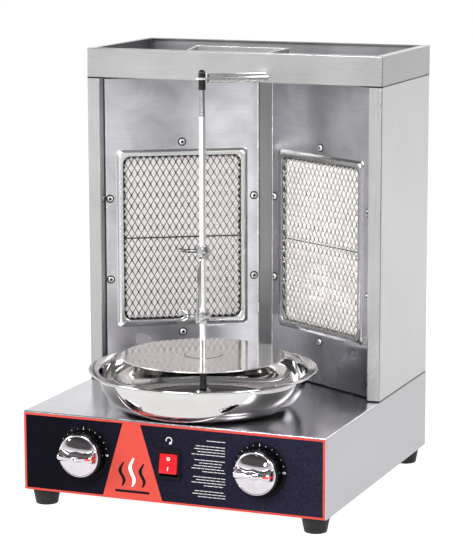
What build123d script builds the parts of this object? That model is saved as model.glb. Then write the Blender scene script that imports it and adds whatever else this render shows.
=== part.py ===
from build123d import *
import os

# Gas vertical broiler: a sheet-steel base with controls, a column with two infrared burners set in a V,
# an open crown, and a turning spit with its disc, forks and drip pan in front of the burners.
# Millimetres. +Z is up, the controls face -Y, X = 0 is the middle of the width, Z = 0 is the floor,
# and Y = 0 lies halfway between the front of the drip pan and the end of the gas inlet.

# Sheet metal
sheet = 1.2
bend = 1.8
flange = 12.0
cutter_length = 10.0
corner_share = 0.3

# Housing
body_width = 400.0
body_depth = 398.0
base_height = 100.0
column_depth = 200.0
column_height = 398.0
crown_height = 37.0
crown_lip = 9.0
stile_width = 17.5
stile_return = 11.0
cover_margin = 1.0

# Feet
foot_height = 21.0
foot_top_d = 36.0
foot_bottom_d = 28.0
foot_inset = 21.0
foot_recess_d = 12.0
foot_web = 9.0
foot_screw_d = 5.0
foot_screw_length = 22.0
foot_screw_head_d = 9.0
foot_screw_head_height = 3.0

# Screws of panels and covers
screw_d = 4.0
screw_head_d = 8.4
screw_head_height = 2.4
screw_crown_d = 5.0
screw_grip = 5.0
hole_clearance = 0.4

# Back covers
vent_length = 110.0
vent_width = 7.0
vent_pitch = 26.0
vent_rows = 6
vent_offset = 85.0
bottom_vent_count = 4
bottom_vent_pitch = 40.0

# Front controls
overlay_thickness = 0.6
control_spacing = 232.0
control_rise = 53.5
bezel_d = 68.0
bezel_thickness = 2.0
bezel_bevel = 1.2
bezel_hole_d = 18.0
push_gap = 5.0
skirt_d = 57.5
skirt_depth = 8.5
skirt_edge = 2.0
skirt_taper = 1.2
knob_hub_d = 14.0
knob_hub_length = 4.5
knob_socket_end = 1.0
cap_d = 53.0
cap_depth = 8.0
cap_dish = 3.5
cap_rim = 2.0
grip_height = 8.0
grip_end = 17.0
grip_waist = 10.0
grip_dome_d = 17.0
grip_taper = 5.0
grip_round = 1.2
stem_d = 6.0
stem_flat = 0.8
stem_engagement = 7.6

# Gas valves and pipes
valve_body_d = 26.0
valve_neck_d = 18.0
valve_flange_d = 30.0
valve_flange_thickness = 3.0
valve_neck_length = 10.0
valve_body_length = 34.0
valve_outlet_d = 14.0
valve_outlet_length = 6.0
valve_plug_d = 12.0
valve_wall = 3.0
running_clearance = 0.08
rail_d = 14.0
rail_drop = 24.0
feed_d = 12.0
pipe_d = 8.0
pipe_bend = 14.0
pipe_lead = 30.0
pipe_sag = 26.0
jet_d = 12.0
jet_length = 12.0
jet_gap = 3.0

# Gas inlet and cable gland
inlet_offset = 150.0
inlet_thread_d = 20.8
inlet_thread_length = 16.0
inlet_hex = 28.0
inlet_hex_thickness = 10.0
inlet_bore_d = 12.0
inlet_collar_d = 30.0
inlet_collar_thickness = 5.0
gland_offset = 150.0
gland_rise = 40.0
gland_d = 22.0
gland_length = 16.0
gland_straight = 7.0
gland_shoulder = 13.0
gland_taper = 2.0
gland_lip = 2.5
gland_thread_d = 16.0
gland_nut_d = 24.0
gland_nut_thickness = 5.0
gland_bore_d = 8.0

# Rocker switch
switch_offset = -2.5
switch_rise = 49.5
switch_bezel_width = 31.0
switch_bezel_height = 38.5
switch_bezel_thickness = 2.4
switch_opening_width = 24.0
switch_opening_height = 29.0
switch_wall = 1.5
switch_corner = 1.5
switch_edge = 0.8
switch_body_depth = 24.0
switch_cavity_depth = 11.0
terminal_count = 2
terminal_length = 8.0
terminal_width = 6.0
terminal_thickness = 0.8
rocker_gap = 0.4
rocker_height = 24.4
rocker_front = 8.5
rocker_valley = 7.6
rocker_back = 3.0
rocker_pivot_depth = 3.5
rocker_tilt = 11.0
rocker_draft = 1.5
rocker_waist = 1.0
rocker_foot = 8.0
pivot_d = 3.2
pivot_sink = 0.7

# Burners
panel_angle = 31.5
panel_width = 203.6
panel_fold = 8.0
panel_top_gap = 4.0
post_width = 18.6
post_leg = 15.0
apex_setback = 79.0
window_rise = 184.0
window_width = 156.0
window_height = 217.0
window_radius = 10.0
frame_border = 9.0
frame_rise = 3.0
frame_lean = 38.0
frame_corner = 5.0
mesh_seat = 4.5
mesh_thickness = 1.0
mesh_pitch_x = 16.8
mesh_pitch_z = 27.6
mesh_strand = 2.0
burner_screw_rise = 126.5
burner_screw_side = 95.5
burner_screw_step = 53.5
burner_margin = 3.2
tray_depth = 40.0
tray_ledge = 6.0
plaque_thickness = 13.0
plaque_setback = 3.0
plaque_gap = 0.4
venturi_d = 20.0
venturi_wall = 1.5
venturi_mouth_d = 34.0
venturi_flare = 18.0
venturi_drop = 30.0
venturi_setback = 29.5
venturi_clearance = 2.0

# Drive
spit_setback = 103.0
shaft_d = 16.0
shaft_rise = 19.0
shaft_depth = 29.0
shaft_chamfer = 1.0
bush_d = 24.0
bush_flange_d = 34.0
bush_flange_thickness = 3.0
motor_d = 64.0
motor_height = 30.0
gearbox_width = 56.0
gearbox_height = 14.0
gearbox_corner = 8.0
bracket_drop = 15.0
bracket_width = 60.0
bracket_span = 92.0
bracket_foot = 14.0
socket_depth = 37.5
socket_clearance = 0.2

# Spit
rod_d = 8.6
rod_square = 6.6
square_length = 36.5
neck_d = 7.2
neck_length = 46.0
tip_d = 9.0
tip_length = 24.5
tip_bore = 14.0
tip_round = 4.0
disc_d = 206.0
disc_thickness = 1.5
disc_rise = 65.5
disc_plateau_d = 46.0
disc_plateau = 0.4
disc_hub_d = 13.0
disc_hub_length = 6.0
fit_gap = 0.05

# Forks
collar_d = 14.5
collar_length = 15.5
collar_clearance = 0.08
prong_d = 3.4
prong_bend = 4.0
weld_sink = 1.0
weld_reach = 5.0
upper_fork_rise = 195.7
upper_fork_reach = 28.0
upper_fork_drop = 4.2
upper_prong_length = 55.0
lower_fork_rise = 113.0
lower_fork_reach = 38.0
lower_fork_drop = 3.7
lower_weld_rise = 2.5
lower_prong_length = 66.5
lower_prong_lean = 5.0
point_length = 7.0
point_d = 0.8
thumb_d = 4.6
thumb_gap = 0.4
thumb_shank = 12.5
thumb_hub_d = 6.4
thumb_hub_length = 3.0
thumb_wing_length = 13.0
thumb_wing_width = 6.5
thumb_wing_thickness = 2.6
thumb_wing_spread = 32.0
upper_screw_angle = 62.0
lower_screw_angle = 0.0

# Top support
arm_d = 12.0
arm_offset = 44.6
arm_root_rise = 6.5
eye_rise = 12.0
eye_d = 17.0
eye_hole_d = 10.4
eye_thickness = 2.6

# Flue collar in the crown
flue_right = 38.0
flue_left = 91.0
flue_left_front = 65.0
flue_depth = 105.0
flue_gap = 1.5

# Drip pan
pan_d = 287.0
pan_wall = 1.0
pan_neck_d = 261.0
pan_bottom_d = 183.0
pan_height = 50.0
pan_lip = 3.0
pan_fullness = 0.29
pan_hub_rise = 21.0
pan_hub_clearance = 1.2

# Levels and places that follow from the sizes above
half_width = body_width / 2
base_floor_z = foot_height
base_top_z = base_floor_z + base_height
crown_z = base_top_z + column_height
top_z = crown_z + crown_height
knob_rear = overlay_thickness + bezel_thickness + push_gap
knob_front = knob_rear + skirt_depth
inlet_reach = inlet_hex_thickness + inlet_thread_length
front_reach = pan_d / 2 - spit_setback
front_y = front_reach - (front_reach + body_depth + inlet_reach) / 2
back_y = front_y + body_depth
wall_back_y = back_y - sheet
column_front_y = back_y - column_depth
spit_y = front_y + spit_setback
knob_x = control_spacing / 2
control_z = base_floor_z + control_rise
rail_z = control_z - rail_drop
gland_z = base_floor_z + gland_rise
switch_z = base_floor_z + switch_rise
foot_x = half_width - foot_inset
foot_rows_y = (front_y + foot_inset, back_y - foot_inset)
panel_height = column_height - panel_top_gap
window_x = panel_width / 2
frame_width = window_width + 2 * frame_border
frame_height = window_height + 2 * frame_border
mesh_width = window_width + 2 * mesh_seat
mesh_height = window_height + 2 * mesh_seat
tray_width = mesh_width - 1
tray_height = mesh_height - 1
flange_width = 2 * (burner_screw_side + burner_margin)
flange_height = 2 * (burner_screw_rise + burner_margin)
tray_bottom_rise = window_rise - tray_height / 2 - sheet
venturi_mouth_z = base_top_z - venturi_drop
disc_z = base_top_z + disc_rise
shaft_top_z = base_top_z + shaft_rise
spit_shoulder_z = shaft_top_z
eye_z = crown_z + eye_rise
rod_length = eye_z - spit_shoulder_z
rod_top_z = spit_shoulder_z + rod_length - neck_length
tip_z = spit_shoulder_z + rod_length - tip_bore
switch_body_width = switch_opening_width + 2 * switch_wall
switch_body_height = switch_opening_height + 2 * switch_wall
pivot_reach = switch_opening_width / 2 + pivot_sink
hole_r = (screw_d + hole_clearance) / 2
burner_screw_spots = [(0, burner_screw_rise), (0, -burner_screw_rise)] + [
    (side * burner_screw_side, step * burner_screw_step) for side in (-1, 1) for step in (-1, 1)]
column_screw_spots = [
    (side * (half_width - flange / 2 - sheet), base_top_z + column_height * share)
    for side in (-1, 1) for share in (0.08, 0.5, 0.92)]
base_screw_spots = [
    (side * (half_width - flange / 2 - sheet), base_floor_z + base_height * share)
    for side in (-1, 1) for share in (0.25, 0.75)]


def box_between(low, high):
    """Box from its lowest corner to its highest."""
    size = [b - a for a, b in zip(low, high)]
    middle = [(a + b) / 2 for a, b in zip(low, high)]
    return Pos(*middle) * Box(*size)


def post_between(x, y, low_z, high_z, diameter):
    """Upright cylinder from one height to another."""
    return Pos(x, y, (low_z + high_z) / 2) * Cylinder(diameter / 2, high_z - low_z)


def turned(points):
    """Solid of revolution about Z from (radius, height) points."""
    return revolve(Plane.XZ * make_face(Polyline(*points, close=True)), Axis.Z)


def bar_along(start, end, diameter):
    """Round bar from one point to another."""
    run = Vector(*end) - Vector(*start)
    return Plane(origin=start, z_dir=run) * Pos(0, 0, run.length / 2) * Cylinder(diameter / 2, run.length)


def tube_along(points, diameter, radius):
    """Round bar along straight runs with rounded corners."""
    path = FilletPolyline(*points, radius=radius)
    return sweep(Plane(origin=path @ 0, z_dir=path % 0) * Circle(diameter / 2), path=path)


def folded(points, height, low_z):
    """Sheet folded along a plan line through the middle of its thickness, standing upright."""
    line = FilletPolyline(*points, radius=bend - sheet / 2)
    return Pos(0, 0, low_z) * extrude(trace(line, line_width=sheet), amount=height)


def on_front(x, z):
    """Place on the front wall: local X is right, local Y is up, local Z points out of the wall."""
    return Location((x, front_y, z), (90, 0, 0))


def on_back(x, z):
    """Place on the back covers: local Z points out of the back, local Y is up."""
    return Location((x, back_y, z), (-90, 0, 180))


def on_spit(solid):
    """Move a solid made round the Z axis to the spit's axis."""
    return Pos(0, spit_y, 0) * solid


burner_place = Location((post_width / 2, back_y - apex_setback, base_top_z), (0, 0, -panel_angle))


def both_burners(name, solid):
    """Left and right copies of a burner piece made in the panel's own frame."""
    right = burner_place * solid
    return {"left_" + name: mirror(right, about=Plane.YZ), "right_" + name: right}


def both_sides(name, solid):
    """Left and right copies of a piece modelled on the right-hand side."""
    return {"left_" + name: mirror(solid, about=Plane.YZ), "right_" + name: solid}


def window_plate(width, height, radius, low_y, high_y):
    """Upright rounded plate centred on the burner window, in the panel's own frame."""
    outline = Plane.XZ * Pos(window_x, window_rise) * RectangleRounded(width, height, radius)
    return Pos(0, low_y, 0) * extrude(outline, amount=-(high_y - low_y))


def burner_drill(diameter):
    """Cylinders through the six screw places of a burner, in the panel's own frame."""
    return [Pos(window_x + x, 0, window_rise + z) * Rot(90, 0, 0) * Cylinder(diameter / 2, cutter_length)
            for x, z in burner_screw_spots]


def switch_cutter():
    """Block that opens the front wall and the film for the switch."""
    cut = Box(switch_body_width + hole_clearance, switch_body_height + hole_clearance, cutter_length)
    return on_front(switch_offset, switch_z) * cut


def dome_screw():
    """Screw with a tapered head, standing on Z = 0 with its shank below."""
    return turned([(0, -screw_grip), (screw_d / 2, -screw_grip), (screw_d / 2, 0), (screw_head_d / 2, 0),
                   (screw_crown_d / 2, screw_head_height), (0, screw_head_height)])


# Base and column


def base_housing():
    """Folded base: top, front and sides, with inward flanges underneath and at the back."""
    outer = box_between((-half_width, front_y, base_floor_z), (half_width, wall_back_y, base_top_z))
    top_edges = outer.faces().sort_by(Axis.Z)[-1].edges().sort_by(Axis.Y)[:-1]
    corner_edges = outer.faces().sort_by(Axis.Y)[0].edges().filter_by(Axis.Z)
    outer = fillet(top_edges + corner_edges, bend)
    inner = box_between((-half_width + sheet, front_y + sheet, base_floor_z + sheet),
                        (half_width - sheet, wall_back_y - sheet, base_top_z - sheet))
    inner_top = inner.faces().sort_by(Axis.Z)[-1].edges().sort_by(Axis.Y)[:-1]
    inner_corners = inner.faces().sort_by(Axis.Y)[0].edges().filter_by(Axis.Z)
    inner = fillet(inner_top + inner_corners, bend - sheet)
    below = box_between((-half_width + flange, front_y + flange, base_floor_z - sheet),
                        (half_width - flange, back_y, base_top_z - sheet))
    shell = outer - inner - below
    shell -= post_between(0, spit_y, base_top_z - 2 * sheet, base_top_z + sheet, bush_d + 2 * fit_gap)
    for drill in both_burners("hole", venturi_post(venturi_d + 2 * venturi_clearance)).values():
        shell -= drill
    for x in (-knob_x, knob_x):
        shell -= on_front(x, control_z) * Cylinder(bezel_hole_d / 2, cutter_length)
    shell -= switch_cutter()
    for x, z in base_screw_spots:
        shell -= on_back(x, z) * Cylinder(hole_r, cutter_length)
    return shell


def venturi_post(diameter):
    """Upright cylinder on a venturi's axis through the base top, in the panel's own frame."""
    return Pos(window_x, venturi_setback, 0) * Cylinder(diameter / 2, cutter_length)


def bottom_plate():
    """Plate that closes the base from below, with vent slots and the holes of the feet's screws."""
    low = (-half_width + sheet + cover_margin, front_y + sheet + cover_margin, base_floor_z + sheet)
    high = (half_width - sheet - cover_margin, wall_back_y - sheet - cover_margin, base_floor_z + 2 * sheet)
    plate = box_between(low, high)
    for row in range(bottom_vent_count):
        y = (front_y + back_y) / 2 + (row - (bottom_vent_count - 1) / 2) * bottom_vent_pitch
        slot = extrude(SlotOverall(vent_length, vent_width), amount=cutter_length, both=True)
        plate -= Pos(0, y, low[2]) * slot
    for x in (-foot_x, foot_x):
        for y in foot_rows_y:
            plate -= post_between(x, y, low[2] - sheet, high[2] + sheet, foot_screw_d + hole_clearance)
    return plate


def base_back_panel():
    """Plate over the back of the base, with the holes of the gas inlet and the cable gland."""
    plate = box_between((-half_width + cover_margin, wall_back_y, base_floor_z + cover_margin),
                        (half_width - cover_margin, back_y, base_top_z))
    for x, z, diameter in ((inlet_offset, rail_z, inlet_thread_d), (-gland_offset, gland_z, gland_thread_d)):
        plate -= on_back(x, z) * Cylinder(diameter / 2 + hole_clearance, cutter_length)
    for x, z in base_screw_spots:
        plate -= on_back(x, z) * Cylinder(hole_r, cutter_length)
    return plate


def column_back_panel():
    """Plate over the back of the column, with two columns of vent slots."""
    plate = box_between((-half_width + cover_margin, wall_back_y, base_top_z),
                        (half_width - cover_margin, back_y, crown_z))
    middle_z = (base_top_z + crown_z) / 2
    slot = extrude(SlotOverall(vent_length, vent_width), amount=cutter_length, both=True)
    for x in (-vent_offset, vent_offset):
        for row in range(vent_rows):
            z = middle_z + (row - (vent_rows - 1) / 2) * vent_pitch
            plate -= on_back(x, z) * slot
    for x, z in column_screw_spots:
        plate -= on_back(x, z) * Cylinder(hole_r, cutter_length)
    return plate


def side_panel():
    """Right wall of the column, folded into a stile at the front and a flange at the back."""
    stile_x = half_width - stile_width + sheet / 2
    wall_x = half_width - sheet / 2
    stile_y = column_front_y + sheet / 2
    flange_y = wall_back_y - sheet / 2
    wall = folded([(stile_x, column_front_y + stile_return), (stile_x, stile_y), (wall_x, stile_y),
                   (wall_x, flange_y), (half_width - flange, flange_y)], column_height, base_top_z)
    for x, z in column_screw_spots:
        if x > 0:
            wall -= on_back(x, z) * Cylinder(hole_r, cutter_length)
    return wall


def crown_frame():
    """Open band round the top, folded inwards along both edges."""
    outer = box_between((-half_width, column_front_y, crown_z), (half_width, back_y, top_z))
    outer = fillet(outer.edges().filter_by(Axis.Z), bend)
    outer = fillet(outer.faces().sort_by(Axis.Z)[-1].edges(), bend - sheet / 2)
    hollow = box_between((-half_width + sheet, column_front_y + sheet, crown_z + sheet),
                         (half_width - sheet, back_y - sheet, top_z - sheet))
    hollow = fillet(hollow.edges().filter_by(Axis.Z), bend - sheet)
    mouth = box_between((-half_width + crown_lip, column_front_y + crown_lip, crown_z - sheet),
                        (half_width - crown_lip, back_y - crown_lip, top_z + sheet))
    return outer - hollow - mouth


def flue_collar():
    """Folded sheet that leads hot air out of the cooking space, standing on the crown's front lip."""
    front = column_front_y + 2 * sheet
    rear = front + flue_depth
    return folded([(-flue_left_front, front), (-flue_left, rear), (flue_right, rear), (flue_right, front)],
                  crown_height - sheet - flue_gap, crown_z + sheet)


def corner_post():
    """Channel that covers the corner where the two burner panels meet."""
    leg_x = post_width / 2 - sheet / 2 - fit_gap
    face_y = back_y - apex_setback + sheet / 2
    leg_y = face_y + post_leg
    channel = [(-leg_x, leg_y), (-leg_x, face_y), (leg_x, face_y), (leg_x, leg_y)]
    return folded(channel, panel_height, base_top_z)


# Burners, in the panel's own frame: X along the panel, Y away from the spit, Z up from the base top


def burner_panel():
    """Panel with folded upright edges, the burner's window and its screw holes."""
    near = sheet / 2
    far = panel_width - sheet / 2
    panel = folded([(near, panel_fold), (near, near), (far, near), (far, panel_fold)], panel_height, 0)
    hole_width = mesh_width + 2 * fit_gap
    hole_height = mesh_height + 2 * fit_gap
    panel -= window_plate(hole_width, hole_height, window_radius, -sheet, 2 * sheet)
    for drill in burner_drill(screw_d + hole_clearance):
        panel -= drill
    return panel


def window_frame():
    """Pressed frame round the window: outer walls that lean inwards to a flat face round the opening."""
    outline = RectangleRounded(frame_width, frame_height, frame_corner)
    raised = extrude(Plane.XZ * Pos(window_x, window_rise) * outline, amount=frame_rise, taper=frame_lean)
    return raised - window_plate(window_width, window_height, window_radius, -2 * frame_rise, sheet)


def burner_mesh():
    """Net of diamonds in front of the ceramic, one holed sheet held behind the window frame."""
    net = RectangleRounded(mesh_width, mesh_height, window_radius)
    clip = RectangleRounded(window_width - 2 * mesh_strand, window_height - 2 * mesh_strand, window_radius)
    columns = round(window_width / mesh_pitch_x)
    rows = round(window_height / mesh_pitch_z)
    half_x = (mesh_pitch_x - mesh_strand) / 2
    half_z = half_x * mesh_pitch_z / mesh_pitch_x
    diamond = make_face(Polyline((half_x, 0), (0, half_z), (-half_x, 0), (0, -half_z), close=True))
    for shift in (0, 1):
        for i in range(columns + shift):
            for j in range(rows + shift):
                x = (i - (columns - 1 + shift) / 2) * mesh_pitch_x
                z = (j - (rows - 1 + shift) / 2) * mesh_pitch_z
                net -= (Pos(x, z) * diamond) & clip
    return extrude(Plane.XZ * Pos(window_x, window_rise) * net, amount=-mesh_thickness)


def ceramic_plaques():
    """Upper and lower ceramic plaque, resting against the ledge in the burner box."""
    half_width_x = tray_width / 2 - plaque_gap
    height = (tray_height - 3 * plaque_gap) / 2
    low_y = sheet + plaque_setback
    high_y = low_y + plaque_thickness
    spots = [window_rise + side * (height + plaque_gap) / 2 for side in (-1, 1)]
    return Compound([box_between((window_x - half_width_x, low_y, z - height / 2),
                                 (window_x + half_width_x, high_y, z + height / 2)) for z in spots])


def tray_block(width, height, low_y, high_y):
    """Upright block centred on the burner window, in the panel's own frame."""
    return box_between((window_x - width / 2, low_y, window_rise - height / 2),
                       (window_x + width / 2, high_y, window_rise + height / 2))


def burner_box():
    """Mixing chamber: a pressed tray with a mounting flange and a ledge that carries the ceramic."""
    back = sheet + tray_depth
    ledge_y = sheet + plaque_setback + plaque_thickness
    box = tray_block(flange_width, flange_height, sheet, 2 * sheet)
    box += tray_block(tray_width + 2 * sheet, tray_height + 2 * sheet, sheet, back)
    inside = tray_block(tray_width, tray_height, 0, back - sheet)
    ledge = tray_block(tray_width + sheet, tray_height + sheet, ledge_y, ledge_y + sheet)
    ledge -= tray_block(tray_width - 2 * tray_ledge, tray_height - 2 * tray_ledge, 0, back)
    box = box - inside + ledge
    box -= Pos(window_x, venturi_setback, tray_bottom_rise) * Cylinder(venturi_d / 2 + fit_gap, cutter_length)
    for drill in burner_drill(screw_d + hole_clearance):
        box -= drill
    return box


def venturi():
    """Mixing tube with a bell mouth, from the burner box down into the base."""
    top = tray_bottom_rise + 2 * sheet
    mouth = -venturi_drop
    outer = venturi_d / 2
    bell = venturi_mouth_d / 2
    flare_top = mouth + venturi_flare
    tube = turned([(outer - venturi_wall, top), (outer, top), (outer, flare_top), (bell, mouth),
                   (bell - venturi_wall, mouth), (outer - venturi_wall, flare_top)])
    collar = turned([(outer, tray_bottom_rise - sheet), (outer + 2 * sheet, tray_bottom_rise - sheet),
                     (outer + 2 * sheet, tray_bottom_rise), (outer, tray_bottom_rise)])
    return Pos(window_x, venturi_setback, 0) * (tube + collar)


def burner_screws():
    """Dome-headed screws round one burner window."""
    screw = Rot(90, 0, 0) * dome_screw()
    return [Pos(window_x + x, 0, window_rise + z) * screw for x, z in burner_screw_spots]


# Gas supply


def gas_valve():
    """Right valve body on the inside of the front wall, with its inlet boss on the rail."""
    start = -sheet
    neck = start - valve_flange_thickness
    shoulder = neck - valve_neck_length
    rear = shoulder - valve_body_length
    outlet = rear - valve_outlet_length
    body = turned([(0, start), (valve_flange_d / 2, start), (valve_flange_d / 2, neck),
                   (valve_neck_d / 2, neck), (valve_neck_d / 2, shoulder), (valve_body_d / 2, shoulder),
                   (valve_body_d / 2, rear), (valve_outlet_d / 2, rear), (valve_outlet_d / 2, outlet),
                   (0, outlet)])
    bore = stem_d / 2 + running_clearance
    plug = valve_plug_d / 2 + running_clearance
    mouth = start + sheet
    body -= turned([(0, mouth), (bore, mouth), (bore, shoulder), (plug, shoulder), (plug, rear + valve_wall),
                    (0, rear + valve_wall)])
    body = on_front(knob_x, control_z) * body
    boss = post_between(knob_x, rail_y(), rail_z, control_z - valve_plug_d / 2 - valve_wall, feed_d)
    return body + (boss - rail())


def valve_stem():
    """Right valve stem with its plug inside the valve and a flat for the knob."""
    neck = -sheet - valve_flange_thickness - valve_neck_length
    rear = neck - valve_body_length + valve_wall
    front = knob_rear - knob_hub_length + stem_engagement
    stem = turned([(0, rear + running_clearance), (valve_plug_d / 2, rear + running_clearance),
                   (valve_plug_d / 2, neck - running_clearance), (stem_d / 2, neck - running_clearance),
                   (stem_d / 2, front), (0, front)])
    flat_length = stem_engagement + push_gap
    stem -= Pos(0, stem_d / 2, front - flat_length / 2) * Box(stem_d, 2 * stem_flat, flat_length)
    return on_front(knob_x, control_z) * stem


def rail_y():
    """Depth of the gas rail under the middle of the valves."""
    return front_y + sheet + valve_flange_thickness + valve_neck_length + valve_body_length / 2


def rail():
    """Round gas rail across the base, under both valves."""
    return bar_along((-knob_x - rail_d, rail_y(), rail_z), (inlet_offset, rail_y(), rail_z), rail_d)


def gas_manifold():
    """Rail and the feed pipe that brings gas to it from the inlet."""
    collar_y = wall_back_y - inlet_collar_thickness
    feed = bar_along((inlet_offset, rail_y(), rail_z), (inlet_offset, collar_y, rail_z), feed_d)
    elbow = Pos(inlet_offset, rail_y(), rail_z) * Sphere(rail_d / 2)
    return rail() + elbow + feed


def gas_pipe():
    """Right pipe from the valve's outlet to the jet under the venturi."""
    jet = burner_place * Pos(window_x, venturi_setback, 0)
    jet_x, jet_y = jet.position.X, jet.position.Y
    outlet_y = rail_y() + valve_body_length / 2 + valve_outlet_length
    jet_top_z = venturi_mouth_z - jet_gap
    pipe = tube_along([(knob_x, outlet_y, control_z), (knob_x, outlet_y + pipe_lead, control_z),
                       (jet_x, jet_y, control_z - pipe_sag), (jet_x, jet_y, jet_top_z - jet_length)],
                      pipe_d, pipe_bend)
    return pipe + post_between(jet_x, jet_y, jet_top_z - jet_length, jet_top_z, jet_d)


def gas_inlet():
    """Threaded inlet through the back panel: inner collar, hexagon and thread."""
    collar = -sheet - inlet_collar_thickness
    body = extrude(RegularPolygon(inlet_hex / 2, 6), amount=inlet_hex_thickness)
    body += post_between(0, 0, -sheet, inlet_reach, inlet_thread_d)
    body += post_between(0, 0, collar, -sheet, inlet_collar_d)
    body -= post_between(0, 0, 0, 2 * inlet_reach, inlet_bore_d)
    return on_back(inlet_offset, rail_z) * body


def cable_gland():
    """Gland for a supply cable: inner nut, thread through the panel, hexagon and dome."""
    nut = -sheet - gland_nut_thickness
    bore = gland_bore_d / 2
    outer = gland_d / 2
    gland = turned([(bore, nut), (gland_nut_d / 2, nut), (gland_nut_d / 2, -sheet),
                    (gland_thread_d / 2, -sheet), (gland_thread_d / 2, 0), (outer, 0),
                    (outer, gland_straight), (outer - gland_taper, gland_shoulder),
                    (bore + gland_lip, gland_length), (bore, gland_length)])
    return on_back(-gland_offset, gland_z) * gland


# Front controls


def front_overlay():
    """Printed film over the whole front wall, cut out for the knobs and the switch."""
    film = box_between((-half_width + bend, front_y - overlay_thickness, base_floor_z),
                       (half_width - bend, front_y, base_top_z - bend))
    for x in (-knob_x, knob_x):
        film -= on_front(x, control_z) * Cylinder(bezel_hole_d / 2, cutter_length)
    return film - switch_cutter()


def knob_bezel():
    """Right round dial plate behind the knob."""
    low = overlay_thickness
    high = overlay_thickness + bezel_thickness
    edge = bezel_d / 2
    plate = turned([(bezel_hole_d / 2, low), (edge, low), (edge, high - bezel_bevel),
                    (edge - bezel_bevel, high), (bezel_hole_d / 2, high)])
    return on_front(knob_x, control_z) * plate


def knob():
    """Right knob body: a skirt and a hub that slides on the stem."""
    hub = knob_rear - knob_hub_length
    edge = skirt_d / 2
    body = turned([(0, hub), (knob_hub_d / 2, hub), (knob_hub_d / 2, knob_rear), (edge, knob_rear),
                   (edge, knob_rear + skirt_edge), (edge - skirt_taper, knob_front), (0, knob_front)])
    socket = knob_front - knob_socket_end - hub
    bore = Cylinder(stem_d / 2 + running_clearance, socket)
    bore -= Pos(0, stem_d / 2 + running_clearance, 0) * Box(2 * stem_d, 2 * stem_flat, socket)
    body -= Pos(0, 0, hub + socket / 2) * bore
    return on_front(knob_x, control_z) * body


def knob_cap():
    """Right plated cap with a dished face and a bow-tie grip across it."""
    radius = cap_d / 2
    top = cap_depth
    reach = radius - cap_rim
    floor = top - cap_dish
    shoulder = cap_rim * corner_share
    cap = turned([(0, 0), (radius, 0), (radius, top - cap_rim), (radius - shoulder, top - shoulder),
                  (reach, top), (radius / 2, floor + cap_dish / 4), (0, floor)])
    bulge = reach + cap_rim / 2
    with BuildSketch() as tie:
        with BuildLine():
            ThreePointArc((reach, grip_end / 2), (0, grip_waist / 2), (-reach, grip_end / 2))
            ThreePointArc((-reach, grip_end / 2), (-bulge, 0), (-reach, -grip_end / 2))
            ThreePointArc((-reach, -grip_end / 2), (0, -grip_waist / 2), (reach, -grip_end / 2))
            ThreePointArc((reach, -grip_end / 2), (bulge, 0), (reach, grip_end / 2))
        make_face()
    start = floor - fit_gap
    crest = top + grip_height
    grip = Pos(0, 0, start) * extrude(tie.sketch, amount=crest - start, taper=grip_taper)
    grip = chamfer(grip.faces().sort_by(Axis.Z)[-1].edges(), grip_round)
    dome = post_between(0, 0, start, crest - grip_round, grip_dome_d)
    return on_front(knob_x, control_z) * Pos(0, 0, knob_front) * (cap + grip + dome)


def switch_housing():
    """Switch body: a bezel on the front and a box behind the wall, open for the rocker."""
    bezel_back = overlay_thickness
    bezel_front = bezel_back + switch_bezel_thickness
    outline = RectangleRounded(switch_bezel_width, switch_bezel_height, switch_corner)
    rim = Pos(0, 0, bezel_back) * extrude(outline, amount=switch_bezel_thickness)
    rim = chamfer(rim.faces().sort_by(Axis.Z)[-1].edges(), switch_edge)
    half_body = (switch_body_width / 2, switch_body_height / 2)
    half_open = (switch_opening_width / 2, switch_opening_height / 2)
    body = box_between((-half_body[0], -half_body[1], -switch_body_depth), (*half_body, bezel_back))
    cavity = box_between((-half_open[0], -half_open[1], -switch_cavity_depth),
                         (*half_open, bezel_front + sheet))
    pivot_hole = rocker_pivot(pivot_d + 2 * running_clearance, pivot_reach + running_clearance)
    housing = rim + body - cavity - pivot_hole
    rear = -switch_body_depth
    for index in range(terminal_count):
        y = (index - (terminal_count - 1) / 2) * switch_body_height / 2
        low = (-terminal_width / 2, y - terminal_thickness / 2, rear - terminal_length)
        housing += box_between(low, (terminal_width / 2, y + terminal_thickness / 2, rear))
    return on_front(switch_offset, switch_z) * housing


def rocker_pivot(diameter, reach):
    """Pin across the switch on the rocker's axis, in the front wall's frame."""
    return bar_along((-reach, 0, -rocker_pivot_depth), (reach, 0, -rocker_pivot_depth), diameter)


def rocker():
    """Rocker tipped in at its upper side, with a pin at each end of its axis."""
    width = switch_opening_width - 2 * rocker_gap
    half = rocker_height / 2
    waist = half - rocker_draft
    foot = rocker_foot / 2
    side = make_face(Polyline((half, rocker_front), (0, rocker_valley), (-half, rocker_front),
                              (-waist, -rocker_waist), (-foot, -rocker_back), (foot, -rocker_back),
                              (waist, -rocker_waist), close=True))
    body = extrude(Plane.YZ * side, amount=width / 2, both=True)
    tipped = Pos(0, 0, -rocker_pivot_depth) * Rot(-rocker_tilt, 0, 0) * body
    return on_front(switch_offset, switch_z) * (tipped + rocker_pivot(pivot_d, pivot_reach))


# Drive


def motor_bracket():
    """Hat-shaped bracket that hangs the motor under the base top."""
    top = base_top_z - sheet
    plate_top = top - bracket_drop + sheet
    span = bracket_span / 2
    plate = box_between((-span, -bracket_width / 2, plate_top - sheet), (span, bracket_width / 2, plate_top))
    for side in (-1, 1):
        leg = sorted((side * span, side * (span - sheet)))
        foot = sorted((side * span, side * (span + bracket_foot)))
        plate += box_between((leg[0], -bracket_width / 2, plate_top), (leg[1], bracket_width / 2, top))
        plate += box_between((foot[0], -bracket_width / 2, top - sheet), (foot[1], bracket_width / 2, top))
    plate -= Cylinder(shaft_d / 2 + hole_clearance, 4 * top)
    return on_spit(plate)


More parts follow.
